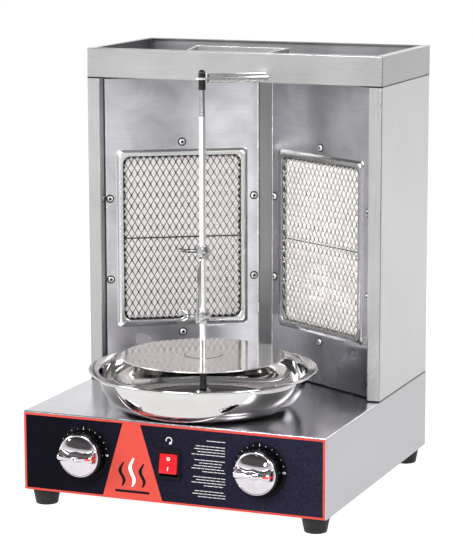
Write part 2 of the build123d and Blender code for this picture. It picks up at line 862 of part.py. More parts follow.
def gear_motor():
    """Gear motor under the bracket: gearbox above, motor can below, and the output bore."""
    top = base_top_z - sheet - bracket_drop
    can_top = top - gearbox_height
    outline = RectangleRounded(gearbox_width, gearbox_width, gearbox_corner)
    gearbox = Pos(0, 0, can_top) * extrude(outline, amount=gearbox_height)
    can = post_between(0, 0, can_top - motor_height, can_top, motor_d)
    bore_low = base_top_z - shaft_depth - fit_gap
    bore = post_between(0, 0, bore_low, top + sheet, shaft_d + 2 * running_clearance)
    return on_spit(gearbox + can - bore)


def shaft_bushing():
    """Flanged bush for the drive shaft in the base top."""
    top = base_top_z - sheet
    bush = post_between(0, 0, top - bush_flange_thickness, top, bush_flange_d)
    bush += post_between(0, 0, top, base_top_z, bush_d)
    return on_spit(bush - Cylinder(shaft_d / 2 + running_clearance, 4 * base_top_z))


def drive_shaft():
    """Drive shaft with a square socket for the spit."""
    shaft = post_between(0, 0, base_top_z - shaft_depth, shaft_top_z, shaft_d)
    shaft = chamfer(shaft.edges().sort_by(Axis.Z)[-1], shaft_chamfer)
    half = rod_square / 2 + socket_clearance
    socket = box_between((-half, -half, shaft_top_z - socket_depth), (half, half, shaft_top_z + sheet))
    return on_spit(shaft - socket)


# Spit and what it carries


def spit_rod():
    """Rod with a squared foot for the drive and a thinner neck at the top."""
    rod = post_between(0, 0, spit_shoulder_z, rod_top_z, rod_d)
    foot = Box(rod_square, rod_square, square_length) & Cylinder(rod_d / 2, square_length)
    rod += Pos(0, 0, spit_shoulder_z - square_length / 2) * foot
    rod += post_between(0, 0, rod_top_z, spit_shoulder_z + rod_length, neck_d)
    return on_spit(rod)


def spit_tip():
    """Black cap on top of the rod, with a rounded end."""
    radius = tip_d / 2
    bore = neck_d / 2 + fit_gap
    top = tip_z + tip_length
    shoulder = tip_round * corner_share
    tip = turned([(bore, tip_z), (radius, tip_z), (radius, top - tip_round),
                  (radius - shoulder, top - shoulder), (radius - tip_round, top), (0, top),
                  (0, tip_z + tip_bore), (bore, tip_z + tip_bore)])
    return on_spit(tip)


def spit_disc():
    """Polished disc with a low plateau round the rod and a hub below."""
    radius = disc_d / 2
    under = disc_z - disc_thickness
    hub_low = under - disc_hub_length
    crest = disc_z + disc_plateau
    disc = turned([(0, hub_low), (disc_hub_d / 2, hub_low), (disc_hub_d / 2, under), (radius, under),
                   (radius, disc_z), (disc_plateau_d / 2 + disc_plateau, disc_z), (disc_plateau_d / 2, crest),
                   (0, crest)])
    return on_spit(disc - post_between(0, 0, hub_low - sheet, crest + sheet, rod_d + 2 * fit_gap))


def fork(rise, reach, drop, prong, lean=0, weld_rise=0):
    """Collar with a prong welded to its side. The prong points up where its length is positive."""
    z = base_top_z + rise
    collar = post_between(0, 0, z - collar_length / 2, z + collar_length / 2, collar_d)
    x = collar_d / 2 + prong_d / 2 - weld_sink
    weld_z = z + weld_rise
    bend_z = weld_z - drop
    tip = (x, -reach + lean, bend_z + prong)
    wire = tube_along([(x, weld_reach, weld_z), (x, -reach, bend_z), tip], prong_d, prong_bend)
    run = Vector(*tip) - Vector(x, -reach, bend_z)
    point = Pos(0, 0, point_length / 2) * Cone(prong_d / 2, point_d / 2, point_length)
    point = Plane(origin=tip, z_dir=run) * point
    fork_solid = collar + wire + point
    fork_solid -= post_between(0, 0, z - collar_length, z + collar_length, rod_d + 2 * collar_clearance)
    fork_solid -= bar_along((0, 0, z), (-collar_d, 0, z), thumb_d + 2 * running_clearance)
    return on_spit(fork_solid)


def thumb_screw(rise, angle):
    """Wing screw that clamps a fork's collar on the rod, with two wings spread in a V."""
    near = rod_d / 2 + thumb_gap
    root = collar_d / 2 + thumb_shank
    screw = bar_along((-near, 0, 0), (-root, 0, 0), thumb_d)
    screw += bar_along((thumb_hub_length - root, 0, 0), (-root - sheet, 0, 0), thumb_hub_d)
    outline = Plane.XZ * SlotOverall(thumb_wing_length, thumb_wing_width)
    leaf = extrude(outline, amount=thumb_wing_thickness / 2, both=True)
    for spread in (-thumb_wing_spread, thumb_wing_spread):
        screw += Pos(-root, 0, 0) * Rot(0, spread, 0) * Pos(-thumb_wing_length / 2, 0, 0) * leaf
    return on_spit(Pos(0, 0, base_top_z + rise) * Rot(angle, 0, 0) * screw)


def support_arm():
    """Tube arm from the crown to an eye that steadies the top of the spit."""
    root = (arm_offset, column_front_y, crown_z + arm_root_rise)
    eye = (0, spit_y, eye_z)
    run = Vector(*eye) - Vector(*root)
    direction = run.normalized()
    start = Vector(*root) - direction * arm_d
    stop = Vector(*eye) - direction * (eye_d / 2 - sheet)
    arm = bar_along(tuple(start), tuple(stop), arm_d)
    arm -= box_between((-half_width, column_front_y, base_top_z), (half_width, back_y, top_z + column_height))
    ring = post_between(0, spit_y, eye_z - eye_thickness / 2, eye_z + eye_thickness / 2, eye_d)
    hole = post_between(0, spit_y, eye_z - arm_d, eye_z + arm_d, eye_hole_d)
    return arm + ring - hole


def drip_pan():
    """Round pan with a rolled rim and a hub that keeps fat away from the drive."""
    low = base_top_z
    bottom = pan_bottom_d / 2
    neck = pan_neck_d / 2
    rim = pan_d / 2
    high = low + pan_height
    hub_in = shaft_d / 2 + pan_hub_clearance
    hub_out = hub_in + pan_wall
    hub_top = low + pan_hub_rise
    rise = pan_height - pan_lip
    slant = ((neck - bottom) * pan_fullness, rise * pan_fullness)
    lip = high - pan_lip
    with BuildSketch(Plane.XZ) as section:
        with BuildLine():
            Line((hub_in, low), (bottom, low))
            ThreePointArc((bottom, low), (neck - slant[0], low + slant[1]), (neck, lip))
            Polyline((neck, lip), (rim - pan_wall, high - pan_wall), (rim - pan_wall, lip), (rim, lip),
                     (rim, high), (rim - 2 * pan_wall, high), (neck - pan_wall, lip + pan_wall))
            ThreePointArc((neck - pan_wall, lip + pan_wall),
                          (neck - slant[0] - pan_wall, low + slant[1] + pan_wall), (bottom, low + pan_wall))
            Polyline((bottom, low + pan_wall), (hub_out, low + pan_wall), (hub_out, hub_top),
                     (hub_in, hub_top), (hub_in, low))
        make_face()
    return on_spit(revolve(section.sketch, Axis.Z))


# Feet and screws


def feet():
    """Four tapered rubber feet with a recess for their screws."""
    bore = foot_screw_d / 2 + hole_clearance
    seat = foot_height - foot_web
    foot = turned([(bore, foot_height), (foot_top_d / 2, foot_height), (foot_bottom_d / 2, 0),
                   (foot_recess_d / 2, 0), (foot_recess_d / 2, seat), (bore, seat)])
    return [Pos(x, y, 0) * foot for x in (-foot_x, foot_x) for y in foot_rows_y]


def foot_screws():
    """Screws that hold the feet to the bottom plate."""
    seat = foot_height - foot_web
    head = foot_screw_head_d / 2
    shank = foot_screw_d / 2
    end = seat + foot_screw_length
    low = seat - foot_screw_head_height
    screw = turned([(0, low), (head, low), (head, seat), (shank, seat), (shank, end), (0, end)])
    return [Pos(x, y, 0) * screw for x in (-foot_x, foot_x) for y in foot_rows_y]


def cover_screws():
    """Dome-headed screws of the two back covers."""
    return [on_back(x, z) * dome_screw() for x, z in column_screw_spots + base_screw_spots]


def all_parts():
    """Every node of the broiler by name."""
    nodes = {
        "base_housing": base_housing(),
        "base_bottom_plate": bottom_plate(),
        "base_back_panel": base_back_panel(),
        "column_back_panel": column_back_panel(),
        "crown_frame": crown_frame(),
        "flue_collar": flue_collar(),
        "corner_post": corner_post(),
        "front_overlay": front_overlay(),
        "gas_manifold": gas_manifold(),
        "gas_inlet": gas_inlet(),
        "cable_gland": cable_gland(),
        "switch_housing": switch_housing(),
        "rocker": rocker(),
        "motor_bracket": motor_bracket(),
        "gear_motor": gear_motor(),
        "shaft_bushing": shaft_bushing(),
        "drive_shaft": drive_shaft(),
        "spit_rod": spit_rod(),
        "spit_tip": spit_tip(),
        "spit_disc": spit_disc(),
        "upper_fork": fork(upper_fork_rise, upper_fork_reach, upper_fork_drop, -upper_prong_length),
        "lower_fork": fork(lower_fork_rise, lower_fork_reach, lower_fork_drop, lower_prong_length,
                           lower_prong_lean, lower_weld_rise),
        "upper_thumb_screw": thumb_screw(upper_fork_rise, upper_screw_angle),
        "lower_thumb_screw": thumb_screw(lower_fork_rise, lower_screw_angle),
        "support_arm": support_arm(),
        "drip_pan": drip_pan(),
        "feet": Compound(feet()),
        "foot_screws": Compound(foot_screws()),
        "cover_screws": Compound(cover_screws()),
    }
    nodes.update(both_sides("side_panel", side_panel()))
    nodes.update(both_burners("burner_panel", burner_panel()))
    nodes.update(both_burners("window_frame", window_frame()))
    nodes.update(both_burners("burner_mesh", burner_mesh()))
    nodes.update(both_burners("ceramic_plaques", ceramic_plaques()))
    nodes.update(both_burners("burner_box", burner_box()))
    nodes.update(both_burners("venturi", venturi()))
    nodes.update(both_burners("burner_screws", Compound(burner_screws())))
    nodes.update(both_sides("gas_valve", gas_valve()))
    nodes.update(both_sides("valve_stem", valve_stem()))
    nodes.update(both_sides("gas_pipe", gas_pipe()))
    nodes.update(both_sides("knob_bezel", knob_bezel()))
    nodes.update(both_sides("knob", knob()))
    nodes.update(both_sides("knob_cap", knob_cap()))
    return nodes


if __name__ == "__main__":
    os.makedirs("parts", exist_ok=True)
    for name, solid in all_parts().items():
        export_step(solid, os.path.join("parts", name + ".step"))
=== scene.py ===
"""Dresses a gas vertical broiler: sheet steel, burners, spit, drip pan, controls and a white studio."""

from math import cos, pi, radians, sin, tau

import bmesh
import bpy
from bpy.props import FloatProperty, FloatVectorProperty, IntProperty, PointerProperty
from mathutils import Matrix, Quaternion, Vector


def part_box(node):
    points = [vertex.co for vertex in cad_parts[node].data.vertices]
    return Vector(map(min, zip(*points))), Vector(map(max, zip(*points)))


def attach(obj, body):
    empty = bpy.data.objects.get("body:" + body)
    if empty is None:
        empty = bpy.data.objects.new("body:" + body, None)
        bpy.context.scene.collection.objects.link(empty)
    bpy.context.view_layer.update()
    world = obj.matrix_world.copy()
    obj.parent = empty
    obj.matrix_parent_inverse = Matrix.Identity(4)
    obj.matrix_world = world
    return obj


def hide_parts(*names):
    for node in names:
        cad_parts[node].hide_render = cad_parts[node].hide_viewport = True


bl_info = {
    "name": "Vertical Broiler",
    "version": (1, 0, 0),
    "blender": (4, 5, 0),
    "location": "3D View > Sidebar > Broiler",
    "description": "Dresses the packed broiler with finishes, burner nets, spit, pan, controls and studio",
    "category": "Object",
}

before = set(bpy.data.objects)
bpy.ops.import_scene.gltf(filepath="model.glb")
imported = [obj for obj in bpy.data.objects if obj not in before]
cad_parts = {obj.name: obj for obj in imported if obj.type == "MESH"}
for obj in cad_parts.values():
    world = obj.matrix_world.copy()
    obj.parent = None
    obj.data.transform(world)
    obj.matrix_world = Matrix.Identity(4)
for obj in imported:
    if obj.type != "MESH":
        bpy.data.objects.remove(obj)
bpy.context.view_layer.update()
MM = 0.001

# Places that come from the frame
BASE_LOW, BASE_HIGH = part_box("base_housing")
FILM_LOW, FILM_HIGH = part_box("front_overlay")
ROD_LOW, ROD_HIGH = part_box("spit_rod")
DISC_LOW, DISC_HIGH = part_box("spit_disc")
PAN_LOW, PAN_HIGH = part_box("drip_pan")
TIP_LOW, TIP_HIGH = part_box("spit_tip")
POST_LOW, POST_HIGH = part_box("corner_post")
CROWN_LOW, CROWN_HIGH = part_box("crown_frame")
FLUE_LOW, FLUE_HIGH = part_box("flue_collar")
SPIT_Y = (ROD_LOW.y + ROD_HIGH.y) / 2
FRONT_Y = BASE_LOW.y
BASE_TOP = BASE_HIGH.z


# Settings


def length_setting(name, description, millimetres):
    """Setting for a length."""
    return FloatProperty(name=name, description=description, default=millimetres * MM, unit="LENGTH")


def colour_setting(name, description, *rgb):
    """Setting for a colour."""
    return FloatVectorProperty(name=name, description=description, subtype="COLOR", size=4, default=(*rgb, 1))


class BroilerSizes(bpy.types.PropertyGroup):
    """Sizes of what is finer than the frame."""

    net_pitch_x: length_setting("Net pitch across", "Width of one diamond of the burner net", 8.4)
    net_pitch_z: length_setting("Net pitch up", "Height of one diamond of the burner net", 14.3)
    net_wire: length_setting("Net strand", "Thickness of a strand of the burner net", 1.75)
    net_columns: IntProperty(name="Net columns", description="Diamonds across one burner net", default=20)
    net_rows: IntProperty(name="Net rows", description="Diamonds up one burner net", default=17)
    flue_mouth: length_setting("Flue mouth", "Left end of the flue collar's front edge", -65)
    window_width: length_setting("Window width", "Clear width of a burner window", 156)
    window_height: length_setting("Window height", "Clear height of a burner window", 217)
    window_radius: length_setting("Window corner", "Corner radius of a burner window", 10)
    window_rise: length_setting("Window rise", "Middle of a window above the base", 184)
    panel_width: length_setting("Panel width", "Width of a burner panel", 203.6)
    panel_edge: length_setting("Panel edge", "Upper end of the panels' edges beside the corner post", 392)
    panel_angle: FloatProperty(name="Panel angle", description="Turn of a burner panel from the front",
                               default=radians(31.5), unit="ROTATION")
    border: length_setting("Film border", "Width of the coloured border of the front film", 2.6)
    ink: length_setting("Ink height", "How far print stands off the film", 0.06)
    dial_letter: length_setting("Dial figure", "Height of the figures on the dials", 5.2)
    screw_head: length_setting("Screw head", "Diameter of the dome heads", 8.4)


class BroilerColours(bpy.types.PropertyGroup):
    """Colours of the finishes."""

    steel_light: colour_setting("Steel, light streaks", "Lightest streak of brushed steel", 0.52, 0.52, 0.515)
    steel_dark: colour_setting("Steel, dark streaks", "Darkest streak of brushed steel", 0.45, 0.45, 0.45)
    film: colour_setting("Film ground", "Ground colour of the front film", 0.0018, 0.0016, 0.0038)
    accent: colour_setting("Film accent", "Border and wedge of the front film", 0.42, 0.047, 0.0335)
    print_white: colour_setting("White print", "Light print on film and dials", 0.82, 0.82, 0.82)
    rocker: colour_setting("Rocker", "Rocker of the switch", 0.42, 0.010, 0.014)
    ceramic: colour_setting("Ceramic", "Burner plaques", 0.959, 0.907, 0.91)


def sizes():
    """Sizes in use."""
    return bpy.context.scene.broiler_sizes


def colours():
    """Colours in use."""
    return bpy.context.scene.broiler_colours


def shaded(colour, share, lift=0.0):
    """Colour made darker or lighter, with full alpha."""
    return [c * share + lift for c in colour[:3]] + [1]


def mm(*points):
    """Points that are given in millimetres."""
    return [tuple(value * MM for value in point) for point in points]


# Nodes


def feed(node, inputs):
    """Give a node its inputs: sockets are linked, and other values are set."""
    for label, value in inputs.items():
        if isinstance(value, bpy.types.NodeSocket):
            node.id_data.links.new(value, node.inputs[label])
        else:
            node.inputs[label].default_value = value
    return node


def add(tree, kind, inputs, **settings):
    """New node with its settings and its inputs."""
    node = tree.nodes.new(kind)
    for label, value in settings.items():
        setattr(node, label, value)
    return feed(node, inputs)


def new_group(name, kind, inputs, outputs):
    """Empty node group with named sockets: the tree, what it is given and its end node."""
    tree = bpy.data.node_groups.new(name, kind)
    for way, sockets in (("INPUT", inputs), ("OUTPUT", outputs)):
        for label, sort in sockets.items():
            tree.interface.new_socket(label, in_out=way, socket_type="NodeSocket" + sort)
    return tree, tree.nodes.new("NodeGroupInput").outputs, tree.nodes.new("NodeGroupOutput")


def noise(vector, scale, detail=3.0, roughness=0.55, distortion=0.0):
    """Noise texture on a vector."""
    inputs = {"Vector": vector, "Scale": scale, "Detail": detail, "Roughness": roughness,
              "Distortion": distortion}
    return add(vector.id_data, "ShaderNodeTexNoise", inputs).outputs["Fac"]


def spread(value, low, high, to_low, to_high):
    """Map a value from one range to another. Range ends are numbers or sockets."""
    inputs = {"Value": value, "From Min": low, "From Max": high, "To Min": to_low, "To Max": to_high}
    return add(value.id_data, "ShaderNodeMapRange", inputs).outputs["Result"]


def calculate(operation, first, second=0.0):
    """Math node on a socket and a number or another socket."""
    return add(first.id_data, "ShaderNodeMath", {0: first, 1: second}, operation=operation).outputs["Value"]


def blend_colour(factor, first, second):
    """Mix two colours, each a colour or a socket, by a factor socket."""
    inputs = {0: factor, 6: first, 7: second}
    return add(factor.id_data, "ShaderNodeMix", inputs, data_type="RGBA").outputs[2]


def stretched(vector, stretch):
    """Vector multiplied by a stretch."""
    inputs = {0: vector, 1: stretch}
    return add(vector.id_data, "ShaderNodeVectorMath", inputs, operation="MULTIPLY").outputs["Vector"]


def darkened(colour, share):
    """Colour multiplied by a share."""
    inputs = {0: colour, "Scale": share}
    return add(colour.id_data, "ShaderNodeVectorMath", inputs, operation="SCALE").outputs["Vector"]


def part_of(vector, axis):
    """One axis of a vector."""
    return add(vector.id_data, "ShaderNodeSeparateXYZ", {"Vector": vector}).outputs[axis]


def bump(height, distance):
    """Normal that a height gives."""
    inputs = {"Strength": 1.0, "Distance": distance, "Height": height}
    return add(height.id_data, "ShaderNodeBump", inputs).outputs["Normal"]


# Shader node groups


def brushed_grain(name):
    """Straight grinding grain of sheet steel with broad handling clouds."""
    tree, given, end = new_group(
        name, "ShaderNodeTree",
        {"Vector": "Vector", "Stretch": "Vector", "Light": "Color", "Dark": "Color", "Roughness": "Float",
         "Roughness Spread": "Float"},
        {"Color": "Color", "Roughness": "Float", "Height": "Float"})
    streak = noise(stretched(given["Vector"], given["Stretch"]), 1.0, 4.0, 0.65)
    cloud = noise(given["Vector"], 9.0, 3.0, 0.5)
    tone = calculate("ADD", calculate("MULTIPLY", streak, 0.62), calculate("MULTIPLY", cloud, 0.38))
    tone = spread(tone, 0.34, 0.66, 0.0, 1.0)
    low = calculate("SUBTRACT", given["Roughness"], given["Roughness Spread"])
    high = calculate("ADD", given["Roughness"], given["Roughness Spread"])
    feed(end, {"Color": blend_colour(tone, given["Dark"], given["Light"]),
               "Roughness": spread(cloud, 0.3, 0.7, low, high), "Height": streak})
    return tree


def handling_marks(name):
    """Faint wiping marks and dust on smooth finishes: a roughness and a mask."""
    tree, given, end = new_group(
        name, "ShaderNodeTree",
        {"Vector": "Vector", "Scale": "Float", "Clean": "Float", "Marked": "Float"},
        {"Roughness": "Float", "Mask": "Float"})
    mask = spread(noise(given["Vector"], given["Scale"], 5.0, 0.5, 0.6), 0.42, 0.72, 0.0, 1.0)
    feed(end, {"Mask": mask, "Roughness": spread(mask, 0.0, 1.0, given["Clean"], given["Marked"])})
    return tree


def fine_tooth(name):
    """Fine tooth of moulded plastic, rubber and printed film: a colour and a height."""
    tree, given, end = new_group(
        name, "ShaderNodeTree",
        {"Vector": "Vector", "Scale": "Float", "Ground": "Color", "Fleck": "Color", "Share": "Float"},
        {"Color": "Color", "Height": "Float"})
    height = noise(given["Vector"], given["Scale"], 4.0, 0.7)
    mask = spread(height, given["Share"], 0.85, 0.0, 1.0)
    feed(end, {"Color": blend_colour(mask, given["Ground"], given["Fleck"]), "Height": height})
    return tree


def place_group(make, vector, **values):
    """Put a node group into a material with its own values, and make the group if it isn't there yet."""
    group = bpy.data.node_groups.get(make.__name__) or make(make.__name__)
    inputs = {label.replace("_", " "): value for label, value in values.items()}
    return add(vector.id_data, "ShaderNodeGroup", {"Vector": vector, **inputs}, node_tree=group).outputs


# Materials


def new_material(name):
    """New material with its Principled shader and its coordinates."""
    material = bpy.data.materials.new(name)
    material.use_nodes = True
    tree = material.node_tree
    tree.nodes.clear()
    shader = tree.nodes.new("ShaderNodeBsdfPrincipled")
    add(tree, "ShaderNodeOutputMaterial", {"Surface": shader.outputs["BSDF"]})
    return material, shader, tree.nodes.new("ShaderNodeTexCoord").outputs


def made_once(make):
    """Let a material be made once, and be found by its name after that."""
    def find(name, *values, **settings):
        return bpy.data.materials.get(name) or make(name, *values, **settings)
    return find


def shades_across(vector, bands):
    """Painted light and shade at places across the width, eased from one to the next."""
    width = 0.4
    reach = spread(part_of(vector, "X"), -width / 2, width / 2, 0.0, 1.0)
    ramp = add(vector.id_data, "ShaderNodeValToRGB", {"Fac": reach})
    ramp.color_ramp.interpolation = "EASE"
    stops = ramp.color_ramp.elements
    for _ in bands[2:]:
        stops.new(0.5)
    for stop, (place, tone) in zip(stops, bands):
        stop.position = place / width + 0.5
        stop.color = (tone / 2, tone / 2, tone / 2, 1)
    return calculate("MULTIPLY", ramp.outputs["Color"], 2)


@made_once
def sheet_steel(name, stretch, roughness=0.3, shade=1.0, end_shade=1.0, top_shade=1.0, gap_shade_heights=(), bands=(),
                tint=(1.0, 1.0, 1.0), smudge=0.0, rise=()):
    """Brushed sheet steel with its grain along the axis that is stretched least.

    Shade makes lit and shaded copies of one steel: painted light for each part. Faces turned to either side
    or upwards may have a painted shade or painted highlight of their own, dark lines at some heights are
    painted shade where parts meet, bands give painted light and shade at places across the width, smudges
    darken what hands have wiped, and rise gives painted light that changes from the foot to the head of the
    column.
    """
    material, shader, place = new_material(name)
    vector = place["Object"]
    # Shade makes lit and shaded copies of one steel: painted light.
    light, dark = ([c * shade * t for c, t in zip(streak, tint)] + [1]
                   for streak in (colours().steel_light, colours().steel_dark))
    grain = place_group(brushed_grain, vector, Stretch=stretch, Light=light, Dark=dark,
                        Roughness=roughness, Roughness_Spread=0.05)
    colour = grain["Color"]
    # Painted shade or painted highlight on faces turned to either side or upwards.
    for axis, own_shade in (("X", end_shade), ("Z", top_shade)):
        if own_shade != 1.0:
            facing = calculate("ABSOLUTE", part_of(place["Normal"], axis))
            colour = darkened(colour, spread(facing, 0.8, 0.95, 1.0, own_shade))
    # Painted light and shade at places across the width.
    if bands:
        colour = darkened(colour, shades_across(vector, bands))
    # Painted light that changes up the column, from its foot to its head.
    if rise:
        colour = darkened(colour, spread(part_of(vector, "Z"), BASE_TOP, CROWN_LOW.z, *rise))
    if smudge:
        mask = place_group(handling_marks, vector, Scale=26.0)["Mask"]
        colour = darkened(colour, spread(mask, 0.0, 1.0, 1.0 + smudge / 3, 1.0 - smudge))
    # Painted shade: dark lines at given heights, where parts meet.
    for gap_shade_height in gap_shade_heights:
        away = calculate("ABSOLUTE", calculate("SUBTRACT", part_of(vector, "Z"), gap_shade_height))
        colour = darkened(colour, spread(away, 1.7 * MM, 2.1 * MM, 0.03, 1.0))
    feed(shader, {"Metallic": 1.0, "Base Color": colour, "Roughness": grain["Roughness"],
                  "Normal": bump(grain["Height"], 0.02 * MM)})
    return material


@made_once
def bright_metal(name, colour, clean, marked, scale=28.0):
    """Polished or plated metal with faint wiping marks."""
    material, shader, place = new_material(name)
    marks = place_group(handling_marks, place["Object"], Scale=scale, Clean=clean, Marked=marked)
    tint = blend_colour(marks["Mask"], shaded(colour, 1.0), shaded(colour, 0.93))
    feed(shader, {"Metallic": 1.0, "Base Color": tint, "Roughness": marks["Roughness"]})
    return material


@made_once
def turned_polish(name, colour, centre_y):
    """Polished steel with fine rings left by turning about the spit's axis."""
    material, shader, place = new_material(name)
    vector = place["Object"]
    tree = vector.id_data
    inputs = {"Vector": vector, "Location": (0, -centre_y, 0), "Scale": (1, 1, 0)}
    flat = add(tree, "ShaderNodeMapping", inputs).outputs["Vector"]
    reach = add(tree, "ShaderNodeVectorMath", {0: flat}, operation="LENGTH").outputs["Value"]
    inputs = {"W": reach, "Scale": 900.0, "Detail": 3.0}
    rings = add(tree, "ShaderNodeTexNoise", inputs, noise_dimensions="1D").outputs["Fac"]
    marks = place_group(handling_marks, vector, Scale=22.0, Clean=0.1, Marked=0.17)
    tint = blend_colour(spread(rings, 0.3, 0.7, 0.0, 1.0), shaded(colour, 0.9), shaded(colour, 1.0))
    feed(shader, {"Metallic": 1.0, "Base Color": tint, "Roughness": marks["Roughness"],
                  "Normal": bump(rings, 0.004 * MM)})
    return material


@made_once
def moulded(name, ground, fleck, roughness, tooth=1500.0, depth=0.02 * MM, coat=0.0, share=0.5, gleam=0.5,
            right_paling=1.0):
    """Moulded plastic, rubber or printed film with a fine tooth, which may grow paler towards its right end.
    """
    material, shader, place = new_material(name)
    vector = place["Object"]
    grain = place_group(fine_tooth, vector, Scale=tooth, Share=share, Ground=shaded(ground, 1.0),
                        Fleck=shaded(fleck, 1.0))
    marks = place_group(handling_marks, vector, Scale=45.0, Clean=roughness,
                        Marked=min(1.0, roughness + 0.12))
    colour = grain["Color"]
    if right_paling != 1.0:
        colour = darkened(colour, spread(part_of(vector, "X"), -0.15, 0.15, 1.0, right_paling))
    feed(shader, {"Base Color": colour, "Roughness": marks["Roughness"],
                  "Coat Weight": coat, "Coat Roughness": 0.06, "Specular IOR Level": gleam,
                  "Normal": bump(grain["Height"], depth)})
    return material


@made_once
def plaque_ceramic(name, turn, shade):
    """Porous ceramic with rows of small flame holes, lined up with its panel."""
    material, shader, place = new_material(name)
    vector = place["Object"]
    tree = vector.id_data
    inputs = {"Vector": vector, "Rotation": (0, 0, turn)}
    along = add(tree, "ShaderNodeMapping", inputs, vector_type="TEXTURE").outputs["Vector"]
    inputs = {"Vector": stretched(along, (1, 0, 1)), "Scale": 1 / (2.3 * MM), "Randomness": 0.0}
    holes = add(tree, "ShaderNodeTexVoronoi", inputs).outputs["Distance"]
    open_mask = spread(holes, 0.24, 0.34, 1.0, 0.0)
    pores = noise(vector, 260.0, 4.0, 0.6)
    # Shade makes the two sides' ceramics lit and shaded copies: painted light.
    clean = shaded(colours().ceramic, shade)
    ground = blend_colour(pores, shaded(clean, 0.9), clean)
    height = calculate("SUBTRACT", calculate("MULTIPLY", pores, 0.2), open_mask)
    # The holes are darker than the ceramic: painted shade in the holes.
    feed(shader, {"Base Color": blend_colour(open_mask, ground, shaded((0.74, 0.69, 0.68), shade)),
                  "Roughness": spread(pores, 0.3, 0.7, 0.75, 0.95), "Normal": bump(height, 0.5 * MM)})
    return material


@made_once
def net_wire(name, light, dark, post_painted_light):
    """Stainless strands of a burner net, dulled and tinted by heat, with painted light that makes them
    lighter towards the post.
    """
    material, shader, place = new_material(name)
    vector = place["Object"]
    heat = noise(vector, 34.0, 4.0, 0.6)
    tint = blend_colour(spread(heat, 0.35, 0.7, 0.0, 1.0), shaded((1.0, 0.97, 0.94), light),
                        shaded((1.0, 0.96, 0.92), dark))
    # Painted light: the strands grow lighter towards the post by the post's share.
    clean = spread(part_of(vector, "X"), -0.10, -0.04, 1.0, post_painted_light)
    feed(shader, {"Metallic": 1.0, "Base Color": darkened(tint, clean),
                  "Roughness": spread(heat, 0.3, 0.7, 0.22, 0.34)})
    return material


# Objects


def linked(name, data):
    """Object at the origin for a mesh, a curve, a light or a camera."""
    data.name = name
    item = bpy.data.objects.new(name, data)
    bpy.context.scene.collection.objects.link(item)
    return item


def plain_mesh(carrier):
    """Mesh of an object as it is evaluated. The object itself is removed."""
    depsgraph = bpy.context.evaluated_depsgraph_get()
    mesh = bpy.data.meshes.new_from_object(carrier.evaluated_get(depsgraph))
    bpy.data.objects.remove(carrier)
    return mesh


def piece_from(name, bm, material, sharp=40.0):
    """Turn a bmesh into a linked object at the origin, with clean normals and smooth shading."""
    bmesh.ops.remove_doubles(bm, verts=bm.verts, dist=2e-6)
    bmesh.ops.recalc_face_normals(bm, faces=bm.faces)
    mesh = bpy.data.meshes.new(name)
    bm.to_mesh(mesh)
    bm.free()
    mesh.shade_smooth()
    mesh.set_sharp_from_angle(angle=radians(sharp))
    mesh.materials.append(material)
    return linked(name, mesh)


def settle(piece, body, nodes=()):
    """Ride a piece on its body, and let it stand for CAD nodes."""
    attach(piece, body)
    if nodes:
        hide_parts(*nodes)


def make_piece(name, bm, material, body, slot, nodes=(), sharp=40.0):
    """Settled piece from a bmesh."""
    settle(piece_from(name, bm, material, sharp), body, nodes)


def turned_piece(name, profile, place, segments, *finish, closed=True, **more):
    """Settled piece turned from a profile. Its finish is what make_piece takes after the bmesh."""
    bm = bmesh.new()
    lathe(bm, profile, place, segments, closed)
    make_piece(name, bm, *finish, **more)


def dress(names, material):
    """Give CAD nodes a finish. Their names stand in one line."""
    for name in names.split():
        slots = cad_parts[name].data.materials
        slots.clear()
        slots.append(material)


# Mesh building


def placed(place, outline, height=0.0):
    """Points of a flat outline at a height, in a place of their own."""
    return [place @ Vector((x, y, height)) for x, y in outline]


def circle(segments):
    """Points of a circle with a radius of one."""
    return [(cos(tau * i / segments), sin(tau * i / segments)) for i in range(segments)]


def arc(centre, radius, start, end, steps):
    """Points of an arc in the profile plane, angles in degrees."""
    turn = [radians(start + (end - start) * i / steps) for i in range(steps + 1)]
    return [(centre[0] + radius * cos(a), centre[1] + radius * sin(a)) for a in turn]


def rounded_outline(width, height, radius, steps):
    """Points of a rounded rectangle, counter-clockwise."""
    x, y = width / 2 - radius, height / 2 - radius
    corners = ((x, y, 0), (-x, y, 90), (-x, -y, 180), (x, -y, 270))
    return [point for cx, cy, start in corners for point in arc((cx, cy), radius, start, start + 90, steps)]


def stepped(outline, count):
    """Even steps round a closed outline: points, each with the direction that leads outwards."""
    points = [Vector(point) for point in outline]
    ends = list(zip(points, points[1:] + points[:1]))
    stride = sum((b - a).length for a, b in ends) / count
    steps, walked = [], 0.0
    for a, b in ends:
        length = (b - a).length
        while len(steps) < count and len(steps) * stride <= walked + length and length > 0:
            ahead = (b - a) / length
            steps.append((a + ahead * (len(steps) * stride - walked), Vector((ahead.y, -ahead.x))))
        walked += length
    return steps


def rounded_path(points, radius, steps=6):
    """Points with each inner corner replaced by a short curve."""
    points = [Vector(point) for point in points]
    path = [points[0]]
    for before, corner, after in zip(points, points[1:], points[2:]):
        start = corner + (before - corner).normalized() * radius
        end = corner + (after - corner).normalized() * radius
        for i in range(steps + 1):
            t = i / steps
            path.append(start * (1 - t) ** 2 + corner * 2 * t * (1 - t) + end * t ** 2)
    return path + [points[-1]]


